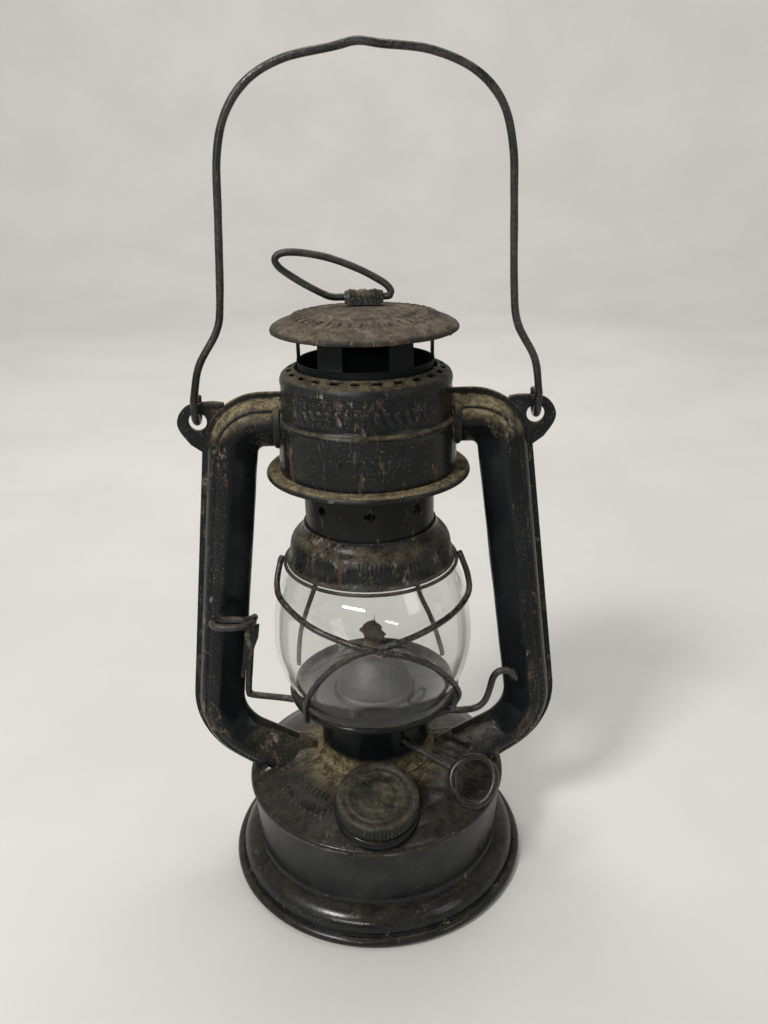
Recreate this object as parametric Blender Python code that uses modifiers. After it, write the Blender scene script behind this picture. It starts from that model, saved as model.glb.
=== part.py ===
"""Small tubular hurricane lantern: an oil tank, two hollow side tubes, a globe and a chimney."""

import math

import bmesh
import bpy
from mathutils import Matrix, Vector

MM = 0.001

# Driving dimensions, in millimetres.  X runs across the side tubes, -Y is the front.
FOOT_R = 64.0            # outside of the rolled foot bead
TANK_R = 54.6            # tank wall at its top seam
TANK_H = 39.9            # top edge of the tank wall
COLLAR_R = 23.3          # air collar round the burner
COLLAR_TOP = 75.2
PLATE_R = 35.8           # rolled rim of the globe plate
PLATE_Z = 78.7           # underside of the globe plate
GLOBE_R = 40.6           # widest part of the glass
GUARD_RING_R = 34.3      # ring under the bell
CHIMNEY_R = 25.1         # outside of the sliding chimney tube
DRUM_R = 33.7            # air drum at its lower edge
DRUM_Z = 181.0           # lower edge of the air drum
DRUM_TOP = 213.6         # upper edge of the air drum
CAP_R = 34.3
CAP_TOP = 239.9
TUBE_HALF = 9.3          # half the width of a side tube, seam flange left out
TUBE_DEPTH = 9.0         # half the depth of a side tube, front to back
TUBE_SEAM = 2.4          # how far the folded seam stands off the tube
EAR_X = 63.5             # the bail's hooks, either side
EAR_Z = 203.4            # the bail's pivot axis
BAIL_TOP = 324.2         # wire centre at the top of the bail
BAIL_WIRE = 1.4          # wire radii
GUARD_WIRE = 1.2
LIFT_WIRE = 1.4
RING_WIRE = 1.3
FILLER_Y = -41.8         # middle of the filler cap's top
FILLER_Z = 57.6
FILLER_TILT = 14.0       # degrees forward
FILLER_R = 16.5
SHAFT_Z = 65.5           # wick winder
SHAFT_TURN = -45.0       # the winder's direction from above, degrees from +X
SHAFT_OFFSET = 5.5       # from the wick's middle plane
PIVOT_X = 58.6           # lift wire's pivot in the right tube
PIVOT_Z = 88.5
WICK_W = 11.0
WICK_T = 2.2
WICK_TOP = 111.5

SHEET = 0.6              # steel sheet
THIN = 0.5
GLASS = 1.6
GAP = 0.3                # between touching pieces
SLIDE_FIT = 0.4          # round the chimney tube where it slides
STEPS = 24               # sides of a turned piece

ENAMEL = ((0.018, 0.019, 0.021), 0.42, 0.0)
DUSTY = ((0.060, 0.055, 0.045), 0.75, 0.0)
SOOT = ((0.020, 0.019, 0.018), 0.85, 0.0)
ZINC = ((0.22, 0.22, 0.21), 0.55, 0.85)
WIRE = ((0.045, 0.043, 0.040), 0.50, 0.6)
CLEAR = ((0.90, 0.92, 0.91), 0.04, 0.0)
COTTON = ((0.10, 0.08, 0.055), 0.95, 0.0)
RUBBER = ((0.03, 0.03, 0.03), 0.80, 0.0)


def fresh_scene():
    """Empty the file and return the collections for the lantern and for its cutters."""
    for item in list(bpy.data.objects):
        bpy.data.objects.remove(item, do_unlink=True)
    pair = []
    for name in ("hurricane_lantern", "cutters"):
        group = bpy.data.collections.new(name)
        bpy.context.scene.collection.children.link(group)
        pair.append(group)
    return pair


PARTS, CUTTERS = fresh_scene()


def coat(item, finish):
    """Give an object a material of its own."""
    colour, rough, metal = finish
    paint = bpy.data.materials.new(item.name)
    paint.use_nodes = True
    shader = paint.node_tree.nodes["Principled BSDF"]
    shader.inputs["Base Color"].default_value = (*colour, 1.0)
    shader.inputs["Roughness"].default_value = rough
    shader.inputs["Metallic"].default_value = metal
    if finish is CLEAR:
        shader.inputs["Transmission Weight"].default_value = 1.0
    item.data.materials.append(paint)


def place(name, data, finish=None):
    """Link new geometry as a visible part, or as a cutter when it has no finish."""
    item = bpy.data.objects.new(name, data)
    if finish is None:
        CUTTERS.objects.link(item)
        item.hide_render = True
        item.display_type = "WIRE"
    else:
        PARTS.objects.link(item)
        coat(item, finish)
    return item


def from_bmesh(name, shape, finish=None):
    """Turn a bmesh into an object, shaded smooth with its corners kept sharp."""
    data = bpy.data.meshes.new(name)
    shape.to_mesh(data)
    shape.free()
    data.shade_smooth()
    data.set_sharp_from_angle(angle=math.radians(35))
    return place(name, data, finish)


def arc(centre_r, centre_z, radius, start, end, count):
    """Points of an arc in a turned profile, angles in degrees from the outward direction."""
    points = []
    for index in range(count + 1):
        angle = math.radians(start + (end - start) * index / count)
        points.append((centre_r + radius * math.cos(angle), centre_z + radius * math.sin(angle)))
    return points


def turned(name, outline, finish=None, sheet=None, steps=STEPS):
    """Spin an outline of (radius, height) about Z; sheet makes an open outline a shell."""
    shape = bmesh.new()
    corners = [shape.verts.new((r * MM, 0, z * MM)) for r, z in outline]
    for first, second in zip(corners, corners[1:]):
        shape.edges.new((first, second))
    if sheet is None:
        ends_on_axis = outline[0][0] == 0 and outline[-1][0] == 0
        if not ends_on_axis:
            shape.edges.new((corners[-1], corners[0]))
    item = from_bmesh(name, shape, finish)
    spin = item.modifiers.new("spin", "SCREW")
    spin.axis = "Z"
    spin.steps = steps
    spin.render_steps = steps
    spin.use_merge_vertices = True
    spin.merge_threshold = 0.00001
    spin.use_smooth_shade = True
    if sheet is not None:
        wall = item.modifiers.new("sheet", "SOLIDIFY")
        wall.thickness = sheet * MM
        wall.offset = -1.0
        wall.use_even_offset = True
    return item


def cut(item, *cutters, operation="DIFFERENCE"):
    """Cut an object with others, or join them to it."""
    for tool in cutters:
        step = item.modifiers.new(tool.name, "BOOLEAN")
        step.operation = operation
        step.object = tool
        step.solver = "EXACT"


def rod(name, radius, start, end, finish=None, sides=16, end_radius=None):
    """A round bar or hole cutter between two points."""
    start = Vector(start) * MM
    end = Vector(end) * MM
    shape = bmesh.new()
    far = radius if end_radius is None else end_radius
    bmesh.ops.create_cone(shape, cap_ends=True, segments=sides, radius1=radius * MM,
                          radius2=far * MM, depth=(end - start).length)
    turn = (end - start).to_track_quat("Z", "Y").to_matrix().to_4x4()
    bmesh.ops.transform(shape, matrix=Matrix.Translation((start + end) / 2) @ turn, verts=shape.verts)
    return from_bmesh(name, shape, finish)


def block(name, centre, size, finish=None, turn=0.0):
    """A box, turned about the vertical by some degrees."""
    shape = bmesh.new()
    bmesh.ops.create_cube(shape, size=1.0)
    bmesh.ops.scale(shape, vec=Vector(size) * MM, verts=shape.verts)
    spin = Matrix.Rotation(math.radians(turn), 4, "Z")
    bmesh.ops.transform(shape, matrix=Matrix.Translation(Vector(centre) * MM) @ spin, verts=shape.verts)
    return from_bmesh(name, shape, finish)


def flowing(points, per_span=4, closed=False):
    """A smooth run of points through the given ones."""
    knots = [Vector(p) for p in points]
    count = len(knots)
    spans = count if closed else count - 1
    run = []
    for index in range(spans):
        if closed:
            a, b, c, d = (knots[(index + k) % count] for k in (-1, 0, 1, 2))
        else:
            b, c = knots[index], knots[index + 1]
            a = knots[index - 1] if index > 0 else b * 2 - c
            d = knots[index + 2] if index + 2 < count else c * 2 - b
        for step in range(per_span):
            t = step / per_span
            run.append(0.5 * (2 * b + (c - a) * t + (2 * a - 5 * b + 4 * c - d) * t * t
                              + (3 * b - a - 3 * c + d) * t ** 3))
    if not closed:
        run.append(knots[-1])
    return run


def wire(name, points, radius, finish, closed=False):
    """A round wire along a run of points."""
    path = bpy.data.curves.new(name, "CURVE")
    path.dimensions = "3D"
    path.bevel_depth = radius * MM
    path.bevel_resolution = 2
    path.use_fill_caps = True
    run = path.splines.new("POLY")
    run.points.add(len(points) - 1)
    for knot, point in zip(run.points, points):
        knot.co = (*(Vector(point) * MM), 1.0)
    run.use_cyclic_u = closed
    run.use_smooth = True
    return place(name, path, finish)


def loft(name, rings, finish=None):
    """A closed solid through rings of equal count."""
    shape = bmesh.new()
    rows = [[shape.verts.new(Vector(p) * MM) for p in ring] for ring in rings]
    count = len(rows[0])
    for lower, upper in zip(rows, rows[1:]):
        for index in range(count):
            after = (index + 1) % count
            shape.faces.new((lower[index], lower[after], upper[after], upper[index]))
    shape.faces.new(rows[0])
    shape.faces.new(rows[-1])
    bmesh.ops.recalc_face_normals(shape, faces=shape.faces)
    return from_bmesh(name, shape, finish)


def plate(name, outline, thickness, centre_y, finish=None):
    """A flat outline of (x, z) standing across Y."""
    half = thickness / 2
    rings = [[(x, centre_y + side, z) for x, z in outline] for side in (-half, half)]
    return loft(name, rings, finish)


def filleted(corners, radii, count=6):
    """A plane route of (x, z) through corners, each turned with its own radius."""
    route = [Vector(corners[0])]
    for before, corner, after, radius in zip(corners, corners[1:], corners[2:], radii):
        corner = Vector(corner)
        back = (Vector(before) - corner).normalized()
        ahead = (Vector(after) - corner).normalized()
        half_turn = (math.pi - back.angle(ahead)) / 2
        reach = radius * math.tan(half_turn)
        middle = corner + (back + ahead).normalized() * radius / math.cos(half_turn)
        first = corner + back * reach - middle
        sweep = first.angle_signed(corner + ahead * reach - middle)
        for index in range(count + 1):
            turn = Matrix.Rotation(-sweep * index / count, 2)
            route.append(middle + turn @ first)
    route.append(Vector(corners[-1]))
    return route


# ---------------------------------------------------------------- tank

TOP_SHEET = [(12.5, 51.6), (25.0, 51.0), (34.0, 49.2), (42.0, 46.9), (48.5, 44.4), (53.4, 41.9),
             (55.1, 41.2), (55.4, TANK_H + GAP)]


def tank_nodes():
    """The tank wall with its foot, the bottom, the top sheet and the sheet of the air chamber."""
    flare = arc(52.8, 3.6, 8.1, 86, 12, 3)
    bead = arc(FOOT_R - 2.0, 2.0, 2.0, 125, -90, 5)
    wall = [(TANK_R, TANK_H), (52.5, 12.6)]
    turned("tank_shell", wall + flare + bead + [(59.6, 0.0)], ENAMEL, SHEET)
    turned("tank_bottom", [(51.4, 19.0), (51.4, 13.0), (49.0, 12.0), (43.0, 14.0), (0.0, 15.0)],
           ZINC, SHEET)
    top = turned("tank_top", TOP_SHEET, DUSTY, SHEET)
    floor = turned("chamber_floor", [(12.5, 45.0), (24.0, 44.2), (40.0, 40.5), (50.0, 36.5), (53.5, 36.5)],
                   ZINC, SHEET)
    return top, floor


def filler_axis(distance):
    """A point on the filler's tilted axis, so far below the middle of the cap's top."""
    tilt = math.radians(FILLER_TILT)
    return (0.0, FILLER_Y + distance * math.sin(tilt), FILLER_Z - distance * math.cos(tilt))


def tilt_to_filler(item):
    """Stand a piece turned about Z on the filler's axis, its zero height at the cap's top."""
    item.matrix_world = (Matrix.Translation(Vector(filler_axis(0)) * MM)
                         @ Matrix.Rotation(math.radians(FILLER_TILT), 4, "X"))


def filler_nodes(top, floor):
    """The threaded neck, its washer and the knurled cap."""
    neck_r = FILLER_R - 2.5
    ridge = 0.7
    ridges = []
    for height in (-4.2, -6.2):
        ridges += [(neck_r, height + 0.6), (neck_r + ridge, height), (neck_r, height - 0.6)]
    neck = turned("filler_neck", [(neck_r, -2.9)] + ridges + [(neck_r, -22.0), (neck_r - 1.0, -22.0),
                                                             (neck_r - 1.0, -2.9)], ENAMEL, steps=20)
    tilt_to_filler(neck)
    washer_r = FILLER_R - 1.5
    washer = turned("filler_washer", [(washer_r, -1.6), (washer_r, -2.6), (washer_r - 4.5, -2.6),
                                      (washer_r - 4.5, -1.6)], RUBBER, steps=24)
    tilt_to_filler(washer)
    hole = rod("filler_hole", neck_r + GAP, filler_axis(30), filler_axis(-5), sides=24)
    cut(top, hole)
    cut(floor, hole)

    shape = bmesh.new()
    bmesh.ops.create_cone(shape, cap_ends=True, segments=72, radius1=FILLER_R * MM, radius2=FILLER_R * MM,
                          depth=6.5 * MM)
    for index, corner in enumerate(sorted(shape.verts, key=lambda v: math.atan2(v.co.y, v.co.x))):
        if (index // 2) % 2:
            corner.co.xy *= 0.965
    bmesh.ops.translate(shape, vec=(0, 0, -3.25 * MM), verts=shape.verts)
    cap = from_bmesh("filler_cap", shape, DUSTY)
    tilt_to_filler(cap)
    hollow = turned("filler_cap_hollow", [(0, -1.3), (FILLER_R - 1.0, -1.3), (FILLER_R - 1.0, -8.0),
                                           (0, -8.0)], steps=24)
    tilt_to_filler(hollow)
    dish = turned("filler_cap_dish", [(0, 1.0), (FILLER_R - 2.5, 1.0), (FILLER_R - 3.3, -0.5), (0, -0.5)],
                  steps=24)
    tilt_to_filler(dish)
    cut(cap, hollow, dish)


# ---------------------------------------------------------------- frame

DRUM_WALL = [(31.7, DRUM_TOP), (32.2, 201.4), (33.3, 200.2), (33.6, 198.8), (DRUM_R, DRUM_Z)]
# Route of a side tube: out of the drum, down beside the globe and in under the globe plate.
TUBE_CORNERS = [(30.5, 198.0), (49.8, 198.0), (66.6, 65.0), (29.0, 39.6)]
TUBE_BENDS = [12.3, 25.0]


def tube_rings(side, grow=0.0, seam=True, overrun=0.0):
    """Sections along a side tube; side is -1 on the left and 1 on the right."""
    corners = [Vector(c) for c in TUBE_CORNERS]
    corners[0] -= (corners[1] - corners[0]).normalized() * overrun
    corners[-1] += (corners[-1] - corners[-2]).normalized() * overrun
    route = filleted(corners, TUBE_BENDS)
    rings = []
    for index, point in enumerate(route):
        before = route[max(index - 1, 0)]
        after = route[min(index + 1, len(route) - 1)]
        ahead = (after - before).normalized()
        outward = Vector((-ahead.y, ahead.x))
        half, depth = TUBE_HALF + grow, TUBE_DEPTH + grow
        section = []
        if seam:
            thick = 0.7 + grow
            near = half * 0.97
            far = TUBE_HALF + TUBE_SEAM + grow
            section += [(near, -thick), (far, -thick), (far, thick), (near, thick)]
        for step in range(1, 16):
            angle = math.tau * step / 16
            section.append((half * math.cos(angle), depth * math.sin(angle)))
        ring = []
        for u, v in section:
            spot = point + outward * u
            ring.append((side * spot.x, v, spot.y))
        rings.append(ring)
    return rings


def grown(outline, gap, bottom):
    """A solid outline a little outside a wall, closed down to a bottom height."""
    shifted = [(r + gap, z + gap) for r, z in outline]
    return [(0.0, shifted[0][1])] + shifted + [(shifted[-1][0], bottom), (0.0, bottom)]


def frame_nodes(top):
    """The side tubes with their ears and collars, and the drum that they hang from."""
    drum = turned("drum_shell", DRUM_WALL, ENAMEL, SHEET)
    drum_solid = turned("drum_solid", grown(DRUM_WALL, GAP, DRUM_Z - 4))
    tank_solid = turned("tank_solid", grown(TOP_SHEET, GAP, 20.0))
    for side, hand in ((-1, "left"), (1, "right")):
        bore = loft("bore_" + hand, tube_rings(side, grow=-0.9, seam=False, overrun=3.0))
        sleeve = loft("sleeve_" + hand, tube_rings(side, grow=GAP))
        tube = loft("side_tube_" + hand, tube_rings(side), ENAMEL)
        cut(tube, bore, drum_solid, tank_solid)
        if side > 0:
            cut(tube, rod("pivot_hole", LIFT_WIRE + GAP, (PIVOT_X, -14, PIVOT_Z), (PIVOT_X, -2, PIVOT_Z),
                          sides=12))
        cut(drum, bore)
        cut(top, bore)
        collar = rod("tube_collar_" + hand, 11.3, (side * 30.0, 0, 198.0), (side * 35.2, 0, 198.0),
                     DUSTY, sides=20)
        cut(collar, sleeve, drum_solid)
        ear_nodes(side, hand)


def ear_nodes(side, hand):
    """A flat ear outside the tube's bend, with the bail's hole and a folded top edge."""
    seam_r = TUBE_HALF + TUBE_SEAM + TUBE_BENDS[0] + GAP
    inner = arc(38.9, 185.7, seam_r, 3, 53, 6)
    outer = [(58.5, 205.8), (65.5, 205.8), (69.4, 203.2), (71.3, 199.0), (70.4, 195.0), (67.0, 190.0)]
    outline = [(side * x, z) for x, z in inner + outer]
    ear = plate("ear_" + hand, outline, 1.2, 0.0, ENAMEL)
    hole = rod("ear_hole_" + hand, 3.0, (side * EAR_X, -5, 199.2), (side * EAR_X, 5, 199.2))
    hem = rod("ear_hem_" + hand, 1.1, (side * 55.4, 0, 205.3), (side * 60.8, 0, 205.3), sides=10)
    cut(ear, hole)
    cut(ear, hem, operation="UNION")


def drum_nodes():
    """The slotted lid of the drum and the flared ring that closes its lower end."""
    mouth = CHIMNEY_R + 1.2
    lid = turned("drum_lid", [(mouth, 219.4), (mouth + 0.4, 218.4), (29.6, 217.7), (31.2, 216.2),
                              (31.6, DRUM_TOP + GAP)], DUSTY, SHEET)
    count = 12
    for index in range(count):
        angle = 360.0 / count * (index + 0.5)
        spot = Matrix.Rotation(math.radians(angle), 3, "Z") @ Vector((28.3, 0, 218.0))
        cut(lid, block("lid_slot_%d" % (index + 1), spot, (1.6, 5.0, 4.0), turn=angle))
    sleeve = CHIMNEY_R + SLIDE_FIT
    rim = DRUM_R + 5.1
    turned("draft_ring", [(sleeve + SHEET, 189.0), (sleeve + SHEET, 181.4), (sleeve + 1.3, 180.7),
                          (rim - 1.6, 180.5), (rim - 0.2, 180.0), (rim, 178.9), (rim - 0.6, 178.9),
                          (rim - 1.8, 179.9), (sleeve + 0.9, 180.1), (sleeve, 181.0), (sleeve, 189.0)], DUSTY)


# ---------------------------------------------------------------- burner

def across(distance, sideways, height):
    """A point on the winder's own axes: along its shaft, across it, and up."""
    turn = math.radians(SHAFT_TURN)
    along = Vector((math.cos(turn), math.sin(turn), 0.0))
    over = Vector((-math.sin(turn), math.cos(turn), 0.0))
    return along * distance + over * sideways + Vector((0.0, 0.0, height))


def burner_nodes():
    """The collar on the tank, the burner in it and the wick with its winder."""
    collar = turned("air_collar", [(COLLAR_R, COLLAR_TOP), (COLLAR_R, 51.5)], SOOT, SHEET)
    shaft_line = (across(0, -SHAFT_OFFSET, SHAFT_Z), across(40, -SHAFT_OFFSET, SHAFT_Z))
    shaft_hole = rod("shaft_hole", 1.9, *shaft_line, sides=12)
    cut(collar, shaft_hole)

    base = turned("burner_base", [(12.2, 59.0), (22.0, 59.0), (22.0, 57.8), (12.2, 57.0), (12.2, 42.0),
                                  (9.5, 42.0), (9.5, 59.0)], ZINC, steps=20)
    gallery = turned("burner_gallery", [(19.0, 73.6), (19.0, 59.3)], ZINC, THIN, steps=20)
    for index in range(8):
        angle = 22.5 + 45 * index
        ahead = Matrix.Rotation(math.radians(angle), 3, "Z") @ Vector((1, 0, 0))
        hole = rod("gallery_hole_%d" % (index + 1), 1.8, ahead * 15 + Vector((0, 0, 69.5)),
                   ahead * 22 + Vector((0, 0, 69.5)), sides=6)
        cut(gallery, hole)
    cut(gallery, shaft_hole)
    cone = turned("burner_cone", [(4.5, 97.4), (8.5, 96.2), (12.2, 91.8), (14.8, 86.0), (16.0, 79.5),
                                  (16.6, 74.8), (20.8, 74.4)], ZINC, THIN, steps=20)
    slot = block("flame_slot", across(0, 0, 96), (14.0, 5.0, 9.0), turn=SHAFT_TURN)
    cut(cone, slot)

    tube = block("wick_tube", across(0, 0, 70.5), (WICK_W + 1.7, WICK_T + 1.7, 45.0), ZINC, SHAFT_TURN)
    bore = block("wick_tube_bore", across(0, 0, 70.5), (WICK_W + 0.7, WICK_T + 0.7, 60.0),
                 turn=SHAFT_TURN)
    window = block("wick_tube_window", across(0, -2.0, SHAFT_Z), (6.0, 2.0, 9.6), turn=SHAFT_TURN)
    cut(tube, bore, window)
    wick_rings = []
    for height, width, thick in ((30.0, WICK_W, WICK_T), (97.0, WICK_W, WICK_T), (103.0, 9.5, 2.6),
                                 (108.0, 8.0, 3.0), (WICK_TOP, 4.0, 1.6)):
        wick_rings.append([across(a * width / 2, b * thick / 2, height)
                           for a, b in ((-1, -1), (1, -1), (1, 1), (-1, 1))])
    loft("wick", wick_rings, COTTON)
    winder_nodes()


def winder_nodes():
    """The winder: a toothed wheel against the wick, a shaft and a finger loop."""
    wheel = []
    for half in (-1.6, 1.6):
        ring = []
        for index in range(20):
            radius = 3.95 if index % 2 else 3.2
            angle = math.tau * index / 20
            ring.append(across(half, -SHAFT_OFFSET + radius * math.cos(angle),
                               SHAFT_Z + radius * math.sin(angle)))
        wheel.append(ring)
    wheel = loft("wick_wheel", wheel, ZINC)
    wheel_hole = rod("wheel_hole", 1.3 + GAP, across(-9, -SHAFT_OFFSET, SHAFT_Z),
                     across(9, -SHAFT_OFFSET, SHAFT_Z), sides=12)
    cut(wheel, wheel_hole)
    rod("wick_shaft", 1.3, across(-6, -SHAFT_OFFSET, SHAFT_Z), across(46.6, -SHAFT_OFFSET, SHAFT_Z),
        WIRE, sides=12)
    # The loop lies in a plane through the shaft, tipped halfway up towards the front.
    tip = math.radians(45)
    run = []
    count = 22
    for index in range(count):
        angle = math.tau * index / count
        reach = 9.2 * math.cos(angle)
        width = 8.9 * math.sin(angle) * (1.0 + 0.1 * math.cos(angle))
        run.append(across(57.7 + reach, -SHAFT_OFFSET + width * math.cos(tip), SHAFT_Z + width * math.sin(tip)))
    wire("wick_loop", run, 1.6, ENAMEL, closed=True)


# ---------------------------------------------------------------- globe, its carrier and its guard

def globe_nodes():
    """The plate under the globe, the glass, and the wires round it."""
    turned("globe_plate", [(PLATE_R - 2.2, PLATE_Z + 4.2), (PLATE_R - 1.0, PLATE_Z + 4.5),
                           (PLATE_R, PLATE_Z + 3.5), (PLATE_R - 0.3, PLATE_Z + 2.2),
                           (PLATE_R - 1.6, PLATE_Z + 1.5), (PLATE_R - 4.0, PLATE_Z), (17.4, PLATE_Z)],
           ENAMEL, SHEET)
    turned("globe", [(29.4, 149.0), (30.4, 145.5), (33.0, 141.0), (36.9, 132.5), (39.4, 122.0),
                     (GLOBE_R, 110.0), (40.1, 102.0), (38.4, 94.5), (35.3, 87.8), (32.4, 83.0),
                     (30.6, PLATE_Z + SHEET + GAP)], CLEAR, GLASS)
    ring = []
    count = 24
    for index in range(count):
        angle = math.tau * index / count
        ring.append((GUARD_RING_R * math.cos(angle), GUARD_RING_R * math.sin(angle), 141.4))
    wire("guard_ring", ring, 0.8, WIRE, closed=True)


def round_globe(angle, radius, height):
    """A point so far round the globe, in degrees from +X."""
    turn = math.radians(angle)
    return (radius * math.cos(turn), radius * math.sin(turn), height)


def guard_nodes():
    """Two wires that cross in front of the globe, and two uprights behind it."""
    top = GUARD_RING_R + 0.9
    foot = PLATE_R + 2.1
    front_a = [(188, top, 144.6), (189, top + 1.0, 142.6), (196, 38.6, 135.0), (211, 39.8, 132.4),
               (236, 41.6, 129.4), (258, 43.6, 126.4), (272, 44.6, 124.0), (286, 43.8, 120.0),
               (300, 43.0, 112.8), (314, 42.4, 101.8), (325, 41.0, 91.0), (326, foot + 0.8, 85.2),
               (325, foot, 81.8)]
    front_b = [(352, top, 144.6), (351, top + 1.0, 142.6), (353, 38.8, 134.0), (342, 39.8, 129.8),
               (318, 40.6, 129.0), (296, 41.4, 127.0), (277, 41.8, 124.0), (262, 41.8, 121.0),
               (248, 41.8, 113.4), (237, 41.8, 103.4), (229, 40.4, 93.6), (225, foot + 0.8, 85.2),
               (224, foot, 81.8)]
    rear_a = [(111, top, 144.6), (112, top + 1.0, 142.6), (116, 39.0, 135.0), (123, 42.0, 121.0),
              (131, 42.2, 109.0), (144, 41.0, 95.5), (154, foot + 0.6, 84.8), (157, foot, 81.8)]
    rear_b = [(67, top, 144.6), (66, top + 1.0, 142.6), (64, 39.0, 135.0), (62, 42.0, 121.0),
              (58, 42.2, 106.0), (48, 41.0, 95.5), (35, foot + 0.6, 84.8), (32, foot, 81.8)]
    for name, route in (("guard_wire_left", front_a), ("guard_wire_right", front_b),
                        ("guard_post_left", rear_a), ("guard_post_right", rear_b)):
        wire(name, flowing([round_globe(*knot) for knot in route], 2), GUARD_WIRE, WIRE)


def lift_nodes():
    """The lift wire under the plate, pivoted in the right tube, and the blade that keeps it."""
    loop = [(-47.4, -9.4, 120.0), (-49.6, -12.2, 120.8), (-55.0, -12.4, 121.2), (-60.0, -12.8, 121.6),
            (-62.2, -14.2, 121.8), (-62.8, -16.4, 121.8), (-61.2, -18.8, 121.8), (-58.0, -20.0, 121.8),
            (-52.0, -20.0, 121.8), (-48.6, -18.4, 121.8), (-47.2, -15.4, 121.6)]
    leg = [(-51.4, -3.0, 79.6), (-53.0, -3.0, 81.2), (-52.8, -3.0, 86.0), (-49.7, -3.6, 110.0),
           (-48.4, -4.6, 116.0), (-47.6, -6.6, 118.8)]
    under = [(30.5, -14.6, 76.8), (22.0, -19.0, 77.0), (12.0, -22.2, 77.0), (0.0, -23.4, 77.0),
             (-12.0, -20.6, 77.0), (-20.0, -14.6, 77.0), (-28.0, -6.8, 77.0), (-36.0, -3.6, 77.4)]
    hook = [(57.4, -12.6, 91.0), (55.6, -13.6, 93.8), (53.2, -14.0, 94.9), (50.6, -14.0, 94.3),
            (48.6, -14.0, 91.6), (47.0, -14.0, 85.0), (45.2, -14.0, 80.2), (41.8, -14.2, 77.4),
            (36.0, -14.4, 76.6)]
    pivot = [(PIVOT_X, -3.0, PIVOT_Z), (PIVOT_X, -9.8, PIVOT_Z)]
    wire("lift_wire", pivot + hook + under + leg + loop, LIFT_WIRE, WIRE)
    plate("lift_keeper", [(-51.4, 115.8), (-45.8, 115.8), (-46.6, 110.0), (-54.4, 91.0), (-55.2, 91.0)],
          0.9, -7.2, ENAMEL)


# ---------------------------------------------------------------- chimney

def chimney_nodes():
    """The sliding chimney: tube, bell, cap and the strap for its ring."""
    tube = turned("chimney_tube", [(CHIMNEY_R, 235.2), (CHIMNEY_R, 154.8)], SOOT, THIN)
    for index in range(8):
        angle = math.radians(45 * index)
        ahead = Vector((math.cos(angle), math.sin(angle), 0))
        height = Vector((0, 0, 168.3))
        cut(tube, rod("vent_%d" % (index + 1), 2.1, ahead * (CHIMNEY_R - 3) + height,
                      ahead * (CHIMNEY_R + 3) + height, sides=8))
    for index in range(3):
        cut(tube, block("window_%d" % (index + 1), (0, 0, 226.5), (CHIMNEY_R * 2.8, 16.0, 10.0),
                        turn=60 * index + 30))
    neck = CHIMNEY_R + THIN + SLIDE_FIT
    turned("bell", [(neck, 158.2), (neck + 0.5, 155.8), (neck + 3.6, 153.2), (neck + 5.4, 150.6),
                    (neck + 5.9, 148.0), (neck + 6.5, 144.6), (neck + 7.1, 142.9)], DUSTY, THIN)
    turned("cap", [(0.0, CAP_TOP), (15.0, 239.5), (18.8, 238.9), (19.8, 238.0), (27.0, 236.8),
                   (32.4, 234.9), (CAP_R, 233.5), (34.1, 232.2)], DUSTY, SHEET)
    strap = block("cap_strap", (0.0, 4.0, 242.85), (14.0, 7.0, 5.3), ENAMEL)
    edges = strap.modifiers.new("edges", "BEVEL")
    edges.width = 1.2 * MM
    edges.segments = 2
    cut(strap, rod("strap_bore", RING_WIRE + GAP, (-12, 4.0, 242.9), (12, 4.0, 242.9), sides=12))
    ring = [(-7.6, 242.9), (7.6, 242.9), (9.4, 243.6), (9.6, 245.2), (6.8, 248.0), (-1.6, 252.6),
            (-11.0, 256.3), (-19.0, 258.2), (-25.6, 258.9), (-29.4, 258.4), (-31.2, 256.8), (-30.6, 254.6),
            (-27.8, 252.0), (-20.8, 247.5), (-14.0, 243.9), (-11.0, 243.0)]
    wire("cap_ring", [(x, 4.0, z) for x, z in ring], RING_WIRE, WIRE, closed=True)


def bail_node():
    """The carrying bail: one wire, hooked through both ears and turned up behind them."""
    hook_r = 4.4
    left = [(-63.4, -4.3, 208.0), (-60.4, -3.4, 220.5), (-53.2, -1.8, 232.6), (-51.2, -0.6, 243.0),
            (-49.4, 0.0, 271.0), (-48.0, 0.0, 291.0), (-44.0, 0.0, 304.0), (-36.0, 0.0, 313.6),
            (-24.0, 0.0, 319.6), (-8.0, 0.0, 322.6)]
    right = [(63.6, -4.3, 208.0), (61.6, -3.4, 220.5), (55.2, -1.8, 233.0), (53.6, -0.6, 246.0),
             (52.6, 0.0, 275.0), (51.6, 0.0, 292.0), (47.6, 0.0, 305.6), (38.4, 0.0, 315.2),
             (24.0, 0.0, 321.2), (8.0, 0.0, 323.2)]
    run = {}
    for side, half in ((-1, left), (1, right)):
        hook = [(side * EAR_X, hook_r, EAR_Z + 4.2)]
        for index in range(7):
            angle = math.pi * index / 6
            hook.append((side * EAR_X, hook_r * math.cos(angle), EAR_Z - hook_r * math.sin(angle)))
        run[side] = [Vector(point) for point in hook], [Vector(point) for point in half]
    over = run[-1][1] + [Vector((0.0, 0.0, BAIL_TOP))] + run[1][1][::-1]
    wire("bail", run[-1][0] + flowing(over, 2) + run[1][0][::-1], BAIL_WIRE, WIRE)


def build():
    """Model every node of the lantern."""
    top, floor = tank_nodes()
    filler_nodes(top, floor)
    frame_nodes(top)
    drum_nodes()
    burner_nodes()
    globe_nodes()
    guard_nodes()
    lift_nodes()
    chimney_nodes()
    bail_node()


build()
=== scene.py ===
"""Looks of a small worn tubular lantern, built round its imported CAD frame."""

import math

import bmesh
import bpy
from mathutils import Matrix, Vector, noise


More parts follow.
